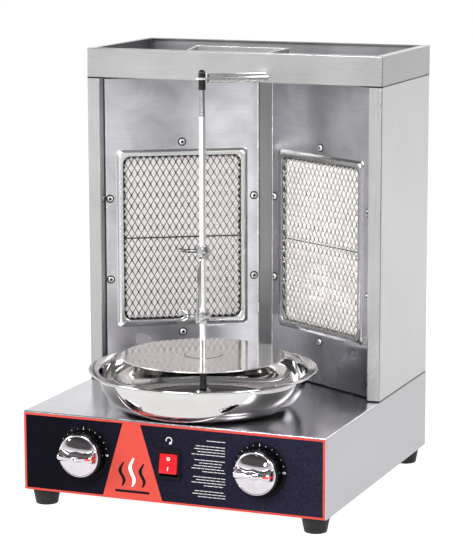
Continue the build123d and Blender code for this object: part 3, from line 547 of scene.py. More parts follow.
def join_rings(bm, rings, closed=False):
    """Faces between rings of points. A ring of one point closes to a pole."""
    rows = [[bm.verts.new(point) for point in ring] for ring in rings]
    pairs = list(zip(rows, rows[1:]))
    if closed:
        pairs.append((rows[-1], rows[0]))
    for low, high in pairs:
        count = max(len(low), len(high))
        for i in range(count):
            j = (i + 1) % count
            corners = [low[i % len(low)], low[j % len(low)], high[j % len(high)], high[i % len(high)]]
            corners = list(dict.fromkeys(corners))
            if len(corners) > 2:
                bm.faces.new(corners)
    return rows


def lathe(bm, profile, place, segments, closed=False):
    """Turn (radius, height) points about Z."""
    rings = []
    for radius, height in profile:
        outline = [(radius * x, radius * y) for x, y in circle(segments)] if radius > 1e-7 else [(0, 0)]
        rings.append(placed(place, outline, height))
    join_rings(bm, rings, closed)


def plate(bm, outline, place, thickness):
    """Flat piece from a 2-D outline: local Z is its thickness."""
    for row in join_rings(bm, [placed(place, outline), placed(place, outline, thickness)]):
        bm.faces.new(row)


def block(bm, low, high, place=Matrix()):
    """Box between two corners, in a place of its own."""
    outline = [(low[0], low[1]), (high[0], low[1]), (high[0], high[1]), (low[0], high[1])]
    plate(bm, outline, place @ Matrix.Translation((0, 0, low[2])), high[2] - low[2])


def rod_along(bm, path, radii, segments):
    """Round bar along points, with a radius for each, closed at both ends."""
    rings = []
    side = (path[1] - path[0]).normalized().orthogonal().normalized()
    for index, (point, radius) in enumerate(zip(path, radii)):
        ahead = (path[min(index + 1, len(path) - 1)] - path[max(index - 1, 0)]).normalized()
        side = (side - ahead * side.dot(ahead)).normalized()
        other = ahead.cross(side)
        rings.append([point + (side * x + other * y) * radius for x, y in circle(segments)])
    join_rings(bm, [[path[0]]] + rings + [[path[-1]]])


def add_text(bm, text, size, place):
    """Add flat figures, centred on a place."""
    curve = bpy.data.curves.new("figure", "FONT")
    curve.body = text
    curve.size = size
    curve.align_x = "CENTER"
    curve.align_y = "CENTER"
    curve.extrude = 0.02 * MM
    mesh = plain_mesh(linked("figure", curve))
    mesh.transform(place)
    bm.from_mesh(mesh)
    bpy.data.curves.remove(curve)
    bpy.data.meshes.remove(mesh)


# Places


def lifted(height):
    """Place at a height, or as far out where the place itself is turned."""
    return Matrix.Translation((0, 0, height))


def spit_place(height=0.0):
    """Place on the spit's axis."""
    return Matrix.Translation((0, SPIT_Y, height))


def front_place(node):
    """Place on the front wall behind the middle of a node: X is right, Y is up and Z points out."""
    low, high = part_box(node)
    middle = (low + high) / 2
    return Matrix.Translation((middle.x, FRONT_Y, middle.z)) @ Matrix.Rotation(pi / 2, 4, "X")


def film_place(layer, x=0.0, y=0.0):
    """Place on a layer of print: X as in the frame, Y up from the base's lower edge, Z out."""
    corner = Matrix.Translation((0, FILM_LOW.y - layer * sizes().ink, BASE_LOW.z))
    return corner @ Matrix.Rotation(pi / 2, 4, "X") @ Matrix.Translation((x, y, 0))


def burner_place(side):
    """Frame of a burner panel: local X along the panel, Y away from the spit, Z up from the base top."""
    across = POST_HIGH.x + 0.05 * MM
    right = Matrix.Translation((across, POST_LOW.y, BASE_TOP)) @ Matrix.Rotation(-sizes().panel_angle, 4, "Z")
    return right if side == "right" else Matrix.Scale(-1, 4, (1, 0, 0)) @ right


def window_place(side, depth):
    """Frame on a burner window, from a depth behind the panel: X along the panel, Y up, Z to the spit."""
    middle = Matrix.Translation((sizes().panel_width / 2, depth, sizes().window_rise))
    return burner_place(side) @ middle @ Matrix.Rotation(pi / 2, 4, "X")


# Geometry Nodes


def set_out(end, material, inputs):
    """Set instances on points, realise and smooth them, and set their material."""
    tree = end.id_data
    flow = add(tree, "GeometryNodeInstanceOnPoints", inputs).outputs["Instances"]
    steps = {"RealizeInstances": {}, "SetShadeSmooth": {}, "SetMaterial": {"Material": material}}
    for step, more in steps.items():
        flow = add(tree, "GeometryNode" + step, {"Geometry": flow, **more}).outputs["Geometry"]
    feed(end, {"Geometry": flow})
    return tree


def net_tree(name, material):
    """Burner net: diamond rings on a grid, which share their sides and so make a full net."""
    tree, given, end = new_group(
        name, "GeometryNodeTree",
        {"Columns": "Int", "Rows": "Int", "Pitch Across": "Float", "Pitch Up": "Float", "Strand": "Float"},
        {"Geometry": "Geometry"})
    width, height = (calculate("MULTIPLY", calculate("SUBTRACT", given[count], 1), given[pitch])
                     for count, pitch in (("Columns", "Pitch Across"), ("Rows", "Pitch Up")))
    grid = add(tree, "GeometryNodeMeshGrid", {
        "Size X": width, "Size Y": height, "Vertices X": given["Columns"], "Vertices Y": given["Rows"]})
    half_height = calculate("MULTIPLY", given["Pitch Up"], 0.5)
    diamond = add(tree, "GeometryNodeCurvePrimitiveQuadrilateral", {}, mode="KITE")
    feed(diamond, {"Width": given["Pitch Across"], "Bottom Height": half_height, "Top Height": half_height})
    half_strand = calculate("MULTIPLY", given["Strand"], 0.5)
    strand = add(tree, "GeometryNodeCurvePrimitiveCircle", {"Resolution": 6, "Radius": half_strand})
    bar = add(tree, "GeometryNodeCurveToMesh", {
        "Curve": diamond.outputs["Curve"], "Profile Curve": strand.outputs["Curve"]})
    return set_out(end, material, {"Points": grid.outputs["Mesh"], "Instance": bar.outputs["Mesh"]})


def screw_tree(material):
    """Dome-headed screws on loose points, each turned by its own angle."""
    tree, given, end = new_group(
        "screw_set", "GeometryNodeTree",
        {"Points": "Geometry", "Screw": "Object", "Seed": "Int"},
        {"Geometry": "Geometry"})
    info = add(tree, "GeometryNodeObjectInfo", {"Object": given["Screw"]})
    angle = add(tree, "FunctionNodeRandomValue", {0: (0, 0, 0), 1: (0, 0, tau), "Seed": given["Seed"]},
                data_type="FLOAT_VECTOR")
    return set_out(end, material, {"Points": given["Points"], "Instance": info.outputs["Geometry"],
                                   "Rotation": angle.outputs[0]})


def grow(name, tree, values, points=()):
    """Run a geometry tree on loose points and return a plain mesh."""
    loose = bpy.data.meshes.new(name + "_points")
    loose.from_pydata(points, [], [])
    carrier = linked(name + "_carrier", loose)
    modifier = carrier.modifiers.new("grow", "NODES")
    modifier.node_group = tree
    for item in tree.interface.items_tree:
        if item.in_out == "INPUT" and item.name in values:
            modifier[item.identifier] = values[item.name]
    mesh = plain_mesh(carrier)
    bpy.data.meshes.remove(loose)
    return mesh


# Pieces


class BROILER_OT_steelwork(bpy.types.Operator):
    """Finish the sheet steel of the base, the column and the crown, and the fittings inside"""
    bl_idname = "broiler.steelwork"
    bl_label = "Steelwork"

    def execute(self, context):
        cool = (1.0, 0.985, 1.045)
        across, upright = (14, 900, 900), (900, 900, 14)
        # Painted reflections and painted shade across the burner panels, lightest on the left panel beside
        # the corner post.
        bands = ((-0.19, 1.12), (-0.12, 0.88), (-0.022, 1.46), (0.012, 0.6), (0.06, 0.78), (0.095, 0.55),
                 (0.12, 0.66), (0.175, 0.64))
        # Painted shade inside the crown, darkest by the left wall.
        lining_shade = ((-0.2, 0.7), (-0.15, 1.1), (0.05, 0.95), (0.2, 1.1))
        # Each part's shade makes a lit or shaded copy of the steel: painted light. Side and top shades paint
        # shade or highlight on faces turned to the side or up, rise paints the column darker at its foot and
        # lighter at its head, and the dark lines at the joints are painted shade.
        dress("base_housing base_back_panel column_back_panel",
              sheet_steel("steel_grain_across", across, 0.22, end_shade=0.76, top_shade=1.52, tint=cool))
        dress("crown_frame", sheet_steel("steel_crown", across, shade=0.86, end_shade=0.93, top_shade=1.9))
        dress("left_side_panel right_side_panel",
              sheet_steel("steel_grain_upright", upright, shade=0.8, end_shade=1.22,
                          gap_shade_heights=(CROWN_LOW.z, BASE_TOP), rise=(0.93, 1.15)))
        dress("left_burner_panel right_burner_panel",
              sheet_steel("steel_panel", (14, 14, 900), shade=1.02, gap_shade_heights=(BASE_TOP,), bands=bands, tint=cool,
                          smudge=0.16))
        dress("corner_post", sheet_steel("steel_post", (900, 900, 10), 0.36, shade=0.38))
        dress("flue_collar", sheet_steel("steel_flue", upright, 0.36, shade=0.85, top_shade=2.0))
        dress("base_bottom_plate left_burner_box right_burner_box left_venturi right_venturi gas_manifold "
              "motor_bracket left_gas_pipe right_gas_pipe",
              sheet_steel("steel_inside", (60, 60, 60), 0.42, shade=0.72))
        dress("support_arm", bright_metal("arm_steel", (0.64, 0.64, 0.635), 0.26, 0.38))
        dress("left_gas_valve right_gas_valve left_valve_stem right_valve_stem gas_inlet shaft_bushing",
              bright_metal("valve_brass", (0.74, 0.56, 0.27), 0.22, 0.36))
        dress("drive_shaft", bright_metal("drive_steel", (0.30, 0.30, 0.30), 0.25, 0.4))
        dress("foot_screws", bright_metal("foot_screw_steel", (0.6, 0.6, 0.6), 0.25, 0.4))
        dress("gear_motor", moulded("motor_paint", (0.02, 0.022, 0.024), (0.05, 0.05, 0.055), 0.4))
        dress("cable_gland", moulded("gland_nylon", (0.012, 0.012, 0.012), (0.03, 0.03, 0.03), 0.42))
        dress("switch_housing",
              moulded("switch_nylon", (0.006, 0.006, 0.007), (0.016, 0.016, 0.018), 0.32, gleam=0.04))
        self.crown_lining(sheet_steel("steel_soot", (60, 60, 20), 0.34, shade=0.72, bands=lining_shade, tint=cool))
        self.flue_hem(bright_metal("hem_steel", (0.92, 0.92, 0.92), 0.2, 0.3))
        return {"FINISHED"}

    def crown_lining(self, steel):
        """Inner faces of the crown in darker steel, darkest by the left wall: painted shade inside the crown.
        """
        near = Vector((1.6, 1.6, 1.8)) * MM
        low, high = CROWN_LOW + near, CROWN_HIGH - near
        skin = 0.3 * MM
        bm = bmesh.new()
        block(bm, (low.x, high.y - skin, low.z), high)
        block(bm, low, (low.x + skin, high.y, high.z))
        block(bm, (high.x - skin, low.y, low.z), high)
        block(bm, low, (high.x, low.y + skin, high.z))
        make_piece("crown_lining", bm, steel, "frame", "steel_brushed")

    def flue_hem(self, steel):
        """Bright rounded edge along the top of the flue collar: its light steel is a painted highlight."""
        radius = 0.8 * MM
        inset = 0.6 * MM
        left, right = FLUE_LOW.x + inset, FLUE_HIGH.x - inset
        near, far = FLUE_LOW.y + inset, FLUE_HIGH.y - inset
        corners = [(sizes().flue_mouth, near), (left, far), (right, far), (right, near)]
        path = rounded_path(placed(Matrix(), corners, FLUE_HIGH.z - radius), 2 * MM)
        bm = bmesh.new()
        rod_along(bm, path, [radius] * len(path), 14)
        make_piece("flue_hem", bm, steel, "frame", "steel_polished")


class BROILER_OT_burners(bpy.types.Operator):
    """Make the pressed window frames, the nets, the ceramic and its joint strips"""
    bl_idname = "broiler.burners"
    bl_label = "Burners"

    # Behind the panel
    ceramic_depth = 4.3 * MM

    def execute(self, context):
        fibre = moulded("fibre_strip", (0.014, 0.013, 0.012), (0.05, 0.047, 0.044), 0.8, tooth=900, gleam=0.2)
        # The two sides are alike: their trim shade, net light and dark, post light, ceramic shade and the
        # tone of the dark edge strip differ only as painted light and shade.
        for side, turn, trim, light, dark, post_painted_light, shade, edge_shade, edge in (
                ("left", 1, 1.2, 0.05, 0.02, 5.0, 1.0, 0.014, 0.9),
                ("right", -1, 0.62, 0.56, 0.34, 1.0, 1.02, 0.10, 0.55)):
            self.window_trim(side, sheet_steel(side + "_trim_steel", (300, 300, 300), 0.27, shade=trim))
            self.net(side, net_wire(side + "_net_wire", light, dark, post_painted_light))
            ceramic = plaque_ceramic(side + "_plaque_ceramic", turn * sizes().panel_angle, shade)
            dress(side + "_ceramic_plaques", ceramic)
            self.joint_strip(side, fibre)
            # The dark edge strip, darker on the left: painted shadow of the net's cut edge.
            grey, fleck = [edge_shade] * 3, [edge_shade * 3] * 3
            self.net_edge_shadow(side, moulded(side + "_packing", grey, fleck, 0.8, tooth=900, gleam=0.2))
            self.gap_shade_strip(side, fibre)
            self.hem(side, edge * MM)
        return {"FINISHED"}

    def window_trim(self, side, steel):
        """Pressed frame: outer walls that sweep up to a flat face round the net."""
        s = sizes()
        profile = mm((9, 0), (8.6, 0.12), (8.0, 0.5), (7.3, 1.1), (6.6, 1.75), (5.8, 2.35), (5.0, 2.75),
                     (4.2, 2.95), (3.6, 3.0), (3.3, 3.0), (0.9, 3.0), (0.6, 2.95), (0.2, 2.6), (0, 2.1),
                     (0, -0.2))
        rings = []
        for offset, height in profile:
            outline = rounded_outline(s.window_width + 2 * offset, s.window_height + 2 * offset,
                                      s.window_radius - offset * 0.5, 8)
            rings.append(placed(window_place(side, 0), outline, height))
        bm = bmesh.new()
        join_rings(bm, rings, closed=True)
        make_piece(side + "_window_trim", bm, steel, "frame", "steel_brushed", [side + "_window_frame"], 50)

    def net(self, side, wire):
        """Diamond net, cut square a little outside the window."""
        s = sizes()
        name = side + "_burner_net"
        mesh = grow(name, net_tree(side + "_net", wire), {
            "Columns": s.net_columns, "Rows": s.net_rows, "Pitch Across": s.net_pitch_x,
            "Pitch Up": s.net_pitch_z, "Strand": s.net_wire})
        bm = bmesh.new()
        bm.from_mesh(mesh)
        for axis, clear in enumerate((s.window_width, s.window_height)):
            for sign in (-1, 1):
                normal = Vector((0, 0, 0))
                normal[axis] = sign
                edge = normal * (clear / 2 + 3 * MM)
                whole = bm.verts[:] + bm.edges[:] + bm.faces[:]
                bmesh.ops.bisect_plane(bm, geom=whole, plane_co=edge, plane_no=normal, clear_outer=True)
        bm.transform(window_place(side, 0.6 * MM))
        if side == "left":
            bmesh.ops.reverse_faces(bm, faces=bm.faces)
        bm.to_mesh(mesh)
        bm.free()
        settle(linked(name, mesh), "frame", [side + "_burner_mesh"])

    def joint_strip(self, side, fibre):
        """Dark fibre strip over the joint between the two plaques."""
        bm = bmesh.new()
        outline = rounded_outline(sizes().window_width + 6 * MM, 1.5 * MM, 0.6 * MM, 3)
        plate(bm, outline, window_place(side, self.ceramic_depth), 0.7 * MM)
        make_piece(side + "_joint_strip", bm, fibre, "frame", "ceramic")

    def net_edge_shadow(self, side, fibre):
        """Dark strip round the edge of the ceramic, pinked along its inner edge: painted shadow of the net's
        cut edge.
        """
        s = sizes()
        place = window_place(side, self.ceramic_depth)
        around = 2 * (s.window_width + s.window_height) - (8 - tau) * s.window_radius
        spots = stepped(rounded_outline(s.window_width, s.window_height, s.window_radius, 6),
                        2 * round(around / s.net_pitch_x))
        teeth = (-0.4 * MM, -3.6 * MM)
        outer = [point + outward * 2.5 * MM for point, outward in spots]
        inner = [point + outward * teeth[i % 2] for i, (point, outward) in enumerate(spots)]
        bm = bmesh.new()
        join_rings(bm, [placed(place, line, height) for line, height in (
            (outer, 0), (inner, 0), (inner, 1.2 * MM), (outer, 1.2 * MM))], closed=True)
        make_piece(side + "_burner_gasket", bm, fibre, "frame", "ceramic")

    def gap_shade_strip(self, side, fibre):
        """Dark strip behind the gap between a burner panel and the corner post: painted shade in the gap."""
        bm = bmesh.new()
        block(bm, (-5 * MM, 8.4 * MM, 1 * MM), (0.8 * MM, 9.2 * MM, sizes().panel_edge), burner_place(side))
        make_piece(side + "_corner_seal", bm, fibre, "frame", "ceramic")

    def hem(self, side, radius):
        """Bright rounded edge of a burner panel beside the corner post: its light steel is a painted
        highlight.
        """
        ends = [burner_place(side) @ Vector((0.6 * MM, 0.3 * MM, z)) for z in (1 * MM, sizes().panel_edge)]
        bm = bmesh.new()
        rod_along(bm, ends, [radius, radius], 14)
        steel = bright_metal("hem_steel", (0.92, 0.92, 0.92), 0.2, 0.3)
        make_piece(side + "_panel_hem", bm, steel, "frame", "steel_polished")


class BROILER_OT_screws(bpy.types.Operator):
    """Make the dome-headed screws of the burner panels and the back covers"""
    bl_idname = "broiler.screws"
    bl_label = "Screws"

    def execute(self, context):
        steel = bright_metal("screw_steel", (0.82, 0.82, 0.81), 0.2, 0.3, scale=120)
        # Black for the painted shade round each head and in its recess.
        dark = bright_metal("screw_dark", (0.016, 0.016, 0.016), 0.4, 0.55, scale=120)
        screw, shade_ring = self.screw(steel), self.shade_ring(dark)
        sets = ((screw_tree(steel), screw, "_screw_heads"), (screw_tree(dark), shade_ring, "_screw_washers"))
        corners = [(95.5 * i, 53.5 * j, 0) for i in (-1, 1) for j in (-1, 1)]
        points = mm((0, 126.5, 0), (0, -126.5, 0), *corners)
        for seed, side in enumerate(("left", "right")):
            self.place(side, sets, seed, points, window_place(side, 0), side + "_burner_screws")
        low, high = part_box("cover_screws")
        column_low, column_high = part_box("column_back_panel")
        back = Matrix.Translation((0, column_high.y, 0)) @ Matrix.Rotation(-pi / 2, 4, "X")
        head = sizes().screw_head / 2
        rows = [column_low.z + (column_high.z - column_low.z) * share for share in (0.08, 0.5, 0.92)]
        rows += [BASE_LOW.z + (BASE_HIGH.z - BASE_LOW.z) * share for share in (0.25, 0.75)]
        points = [(x, -z, 0) for x in (low.x + head, high.x - head) for z in rows]
        self.place("cover", sets, 7, points, back, "cover_screws")
        for pattern in (screw, shade_ring):
            bpy.data.objects.remove(pattern)
        return {"FINISHED"}

    def screw(self, material):
        """One button head with a six-sided recess, lying on Z = 0."""
        head = sizes().screw_head / 2
        turns = [tau * i / 24 for i in range(24)]
        rim = [1.0] * len(turns)
        socket = [cos(pi / 6) / cos(turn % (pi / 3) - pi / 6) for turn in turns]
        rings = []
        for form, share, height in (
                (rim, 1.0, -0.3), (rim, 1.0, 0.25), (rim, 0.95, 0.9), (rim, 0.86, 1.6), (rim, 0.74, 2.1),
                (rim, 0.58, 2.4), (socket, 0.5, 2.32), (socket, 0.49, 0.9)):
            reach = [head * share * part for part in form]
            outline = [(r * cos(turn), r * sin(turn)) for r, turn in zip(reach, turns)]
            rings.append(placed(Matrix(), outline, height * MM))
        bm = bmesh.new()
        join_rings(bm, rings + [[Vector((0, 0, 0.7 * MM))]])
        return piece_from("screw_pattern", bm, material, sharp=35)

    def shade_ring(self, material):
        """Dark ring under one head, and the dark floor of its recess: painted shade round the head and in the
        recess.
        """
        head = sizes().screw_head / 2
        low, high = 0.6 * MM, 1.9 * MM
        bm = bmesh.new()
        lathe(bm, mm((3.6, 0), (5.4, 0), (5.5, 0.1), (5.4, 0.45), (3.6, 0.5)), Matrix(), 24, closed=True)
        lathe(bm, [(0, low), (head * 0.46, low), (head * 0.44, high), (0, high)], Matrix(), 12)
        return piece_from("washer_pattern", bm, material, sharp=35)

    def place(self, label, sets, seed, points, place, node):
        """Put screw heads and their dark rings of painted shade on a panel. The heads stand for the node."""
        nodes = [node]
        for tree, pattern, ending in sets:
            mesh = grow(label + ending, tree, {"Screw": pattern, "Seed": seed}, points)
            mesh.transform(place)
            if place.determinant() < 0:
                mesh.flip_normals()
            settle(linked(label + ending, mesh), "frame", nodes)
            nodes = []


class BROILER_OT_spit(bpy.types.Operator):
    """Make the rod, its tip, the disc, the forks and their wing screws"""
    bl_idname = "broiler.spit"
    bl_label = "Spit"

    def execute(self, context):
        self.rod()
        self.tip()
        self.disc()
        wing_steel = bright_metal("wing_steel", (0.32, 0.32, 0.315), 0.10, 0.22, scale=160)
        fork_steel = bright_metal("fork_steel", (0.40, 0.40, 0.395), 0.10, 0.2, scale=90)
        for name, start, bend, end, turn in (
                ("upper", (5, 0), (-28.0, -4.2), (-28.0, -66.2), 62),
                ("lower", (5, 2.5), (-38.0, -1.2), (-32.47, 72.3), 0)):
            self.fork(name, fork_steel, start, bend, end)
            self.wing_screw(name, wing_steel, radians(turn))
        return {"FINISHED"}

    def rod(self):
        """Rod from the disc up, its thinner neck below the tip, and its duller squared foot."""
        steel = bright_metal("rod_steel", (0.92, 0.92, 0.91), 0.12, 0.24, scale=60)
        neck_steel = bright_metal("rod_neck_steel", (0.42, 0.42, 0.415), 0.14, 0.26, scale=60)
        dull = bright_metal("rod_foot_steel", (0.22, 0.215, 0.21), 0.2, 0.4, scale=60)
        radius = 4.3 * MM
        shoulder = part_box("drive_shaft")[1].z
        middle = (DISC_LOW.z + DISC_HIGH.z) / 2
        step = ROD_HIGH.z - 46 * MM
        for name, low, high, reach, soft, finish, nodes in (
                ("rod_bar", middle, step, radius, 0.5 * MM, steel, ["spit_rod"]),
                ("rod_neck", step, ROD_HIGH.z, 3.6 * MM, 0.4 * MM, neck_steel, [])):
            profile = [(0, low), (reach, low), (reach, high - soft), (reach - soft, high), (0, high)]
            turned_piece(name, profile, spit_place(), 48, finish, "spit", "steel_polished", nodes,
                         closed=False)
        soft = 0.3 * MM
        bm = bmesh.new()
        lathe(bm, [(0, shoulder), (radius - soft, shoulder), (radius, shoulder + soft), (radius, middle),
                   (0, middle)], spit_place(), 48)
        foot = rounded_outline(6.6 * MM, 6.6 * MM, 0.7 * MM, 4)
        plate(bm, foot, spit_place(ROD_LOW.z), shoulder - ROD_LOW.z)
        make_piece("rod_foot", bm, dull, "spit", "steel_polished")

    def tip(self):
        """Black cap with a rounded end and a rolled lower edge."""
        radius = (TIP_HIGH.x - TIP_LOW.x) / 2
        low, high = TIP_LOW.z, TIP_HIGH.z
        soft = 0.3 * MM
        inner = radius - 0.8 * MM
        profile = [(inner, low + 1 * MM), (inner, low), (radius - soft, low), (radius, low + soft)]
        profile += arc((radius * 0.1, high - radius * 0.9), radius * 0.9, 0, 90, 8) + [(0, high)]
        black = moulded("tip_black", (0.004, 0.004, 0.004), (0.008, 0.008, 0.008), 0.1, gleam=0.4)
        turned_piece("tip_cap", profile, spit_place(), 48, black, "spit", "black_matte", ["spit_tip"],
                     closed=False)

    def disc(self):
        """Polished plate with rounded edges, a low centre, a hub below and a dark ring at its groove: painted
        shade in the groove.
        """
        edge = (DISC_HIGH.x - DISC_LOW.x) / 2 + 0.05 * MM
        top = DISC_HIGH.z - 0.4 * MM
        under = top - 1.5 * MM
        hub = 6.5 * MM
        bore = 4.35 * MM
        soft, roll = 0.4 * MM, 0.5 * MM
        profile = [(bore, DISC_LOW.z), (hub - soft, DISC_LOW.z), (hub, DISC_LOW.z + soft), (hub, under)]
        profile += arc((edge - roll, under + roll), roll, -90, 0, 4)
        profile += arc((edge - roll, top - roll), roll, 0, 90, 4) + [(edge - 0.9 * MM, top)]
        face = mm((25, 0), (24.2, 0), (23.9, -0.35), (23.3, -0.35), (23.0, 0.3), (22.6, 0.4), (22, 0.4))
        profile += [(reach, top + rise) for reach, rise in face] + [(bore, DISC_HIGH.z)]
        polish = turned_polish("disc_polish", (0.88, 0.855, 0.85), SPIT_Y)
        turned_piece("disc_plate", profile, spit_place(), 160, polish, "spit", "steel_polished",
                     ["spit_disc"], 25)
        # Dark ring at the groove: painted shade in the groove.
        groove = mm((24.3, -0.3), (24.3, 0.03), (23.9, 0.06), (23.1, 0.36), (22.7, 0.37), (22.7, -0.3))
        dark = bright_metal("disc_groove_steel", (0.12, 0.115, 0.11), 0.2, 0.35)
        turned_piece("disc_groove", groove, spit_place(top), 160, dark, "spit", "steel_polished", sharp=25)

    def collar_height(self, name):
        """Middle of a fork's collar, from the wing screw that sits there."""
        low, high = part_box(name + "_thumb_screw")
        return (low.z + high.z) / 2

    def fork(self, name, steel, start, bend, end):
        """Collar with rounded edges and a wire prong, given by its (y, z) points, welded to its side."""
        outer, bore, half = 7.25 * MM, 4.4 * MM, 7.75 * MM
        soft = 0.6 * MM
        place = spit_place(self.collar_height(name))
        profile = [(bore, -half), (outer - soft, -half)] + arc((outer - soft, soft - half), soft, -90, 0, 4)
        profile += arc((outer - soft, half - soft), soft, 0, 90, 4) + [(bore, half)]
        bm = bmesh.new()
        lathe(bm, profile, place, 48, closed=True)
        x = 7.95
        path = [place @ point for point in rounded_path(mm((x, *start), (x, *bend), (x, *end)), 4 * MM)]
        taper = path[-1] + (path[-2] - path[-1]).normalized() * 7 * MM
        path.insert(len(path) - 1, taper)
        rod_along(bm, path, [1.7 * MM] * (len(path) - 1) + [0.35 * MM], 16)
        for y in (-2.0, 0.0, 2.0):
            weld = mm((x - 0.9, y, start[1] - 1.4 - 0.1 * y))[0]
            self.weld_bead(bm, place @ Vector(weld))
        make_piece(name + "_fork_prong", bm, steel, name + "_fork", "steel_polished", [name + "_fork"])

    def weld_bead(self, bm, centre):
        """Small flattened lump of weld."""
        made = bmesh.ops.create_icosphere(bm, subdivisions=2, radius=1.2 * MM)
        for vert in made["verts"]:
            vert.co = Vector((vert.co.x, vert.co.y * 1.3, vert.co.z * 0.8)) + centre

    def wing_screw(self, name, steel, turn):
        """Threaded shank with a flanged hub and two swept wings, turned about its own axis."""
        low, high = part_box(name + "_thumb_screw")
        near, far = -high.x, -low.x
        place = spit_place(self.collar_height(name)) @ Matrix.Rotation(turn, 4, "X")
        place = place @ Matrix.Rotation(-pi / 2, 4, "Y")
        shank = 2.3 * MM
        root = 19.75 * MM
        ridge = 0.4 * MM
        profile = [(0, near), (shank - 0.5 * MM, near)]
        for i in range(int((root - 3 * MM - near) / (2 * ridge))):
            start = near + i * 2 * ridge
            profile += [(shank - 0.28 * MM, start + 0.1 * ridge), (shank, start + ridge)]
        profile += [(reach, root + rise) for reach, rise in mm(
            (2.3, -3), (3.2, -2.6), (3.2, 0.4), (2.8, 1), (1.8, 2.2), (0, 2.6))]
        bm = bmesh.new()
        lathe(bm, profile, place, 24)
        for sign in (-1, 1):
            self.wing(bm, place, root, far, sign)
        make_piece(name + "_wing_screw", bm, steel, name + "_screw", "steel_polished",
                   [name + "_thumb_screw"])

    def wing(self, bm, place, root, far, sign):
        """One wing: a rounded leaf that leans outwards, thicker at its root."""
        rings = []
        steps = 8
        sides = 16
        start = root - 1.6 * MM
        for i in range(steps + 1):
            t = i / steps
            centre = sign * (0.6 + 5.6 * t) * MM
            wide = (1.3 + 1.9 * sin(pi * min(1.0, t * 0.75 + 0.1))) * MM * (1.0 if t < 1 else 0.3)
            thick = (1.45 - 0.65 * t) * MM * (1.0 if t < 1 else 0.25)
            leaf = [(centre + wide * x, thick * y) for x, y in circle(sides)]
            rings.append(placed(place, leaf, start + t * (far - start)))
        poles = [[sum(ring, Vector()) / sides] for ring in (rings[0], rings[-1])]
        join_rings(bm, [poles[0]] + rings + [poles[1]])


class BROILER_OT_pan(bpy.types.Operator):
    """Make the polished drip pan with its rolled rim and its hub"""
    bl_idname = "broiler.pan"
    bl_label = "Drip pan"

    def execute(self, context):
        height = PAN_HIGH.z - PAN_LOW.z
        rim = (PAN_HIGH.x - PAN_LOW.x) / 2
        wall = 1.0 * MM
        bottom, neck, rise = 91.5 * MM, rim - 13 * MM, height - 4 * MM
        hub, hub_top = 9.2 * MM, 21 * MM
        tube = hub + wall
        soft = 0.4 * MM
        roll = 1.55 * MM
        turns = [pi / 2 * i / 22 for i in range(23)]
        profile = [(hub, 0)]
        profile += [(bottom + (neck - bottom) * sin(a), rise * (1 - cos(a))) for a in turns]
        profile += [(neck + 0.4 * MM, rise + 0.5 * MM), (neck + 1.4 * MM, rise + 0.95 * MM)]
        profile += arc((rim - roll, height - roll), roll, -120, 110, 14)
        profile += [(neck + 1.3 * MM, rise + 1.95 * MM), (neck + 0.1 * MM, rise + 1.5 * MM)]
        profile += [(bottom + (neck - wall - bottom) * sin(a), wall + (rise + soft - wall) * (1 - cos(a)))
                    for a in reversed(turns)]
        profile += [(tube + 1.5 * MM, wall), (tube + soft, wall + 0.5 * MM), (tube, 2.6 * MM),
                    (tube, hub_top - soft), (tube - soft, hub_top), (hub, hub_top)]
        polish = bright_metal("pan_polish", (0.58, 0.57, 0.565), 0.035, 0.10, scale=18)
        turned_piece("pan_shell", profile, spit_place(PAN_LOW.z), 192, polish, "pan", "steel_polished",
                     ["drip_pan"], 60)
        return {"FINISHED"}


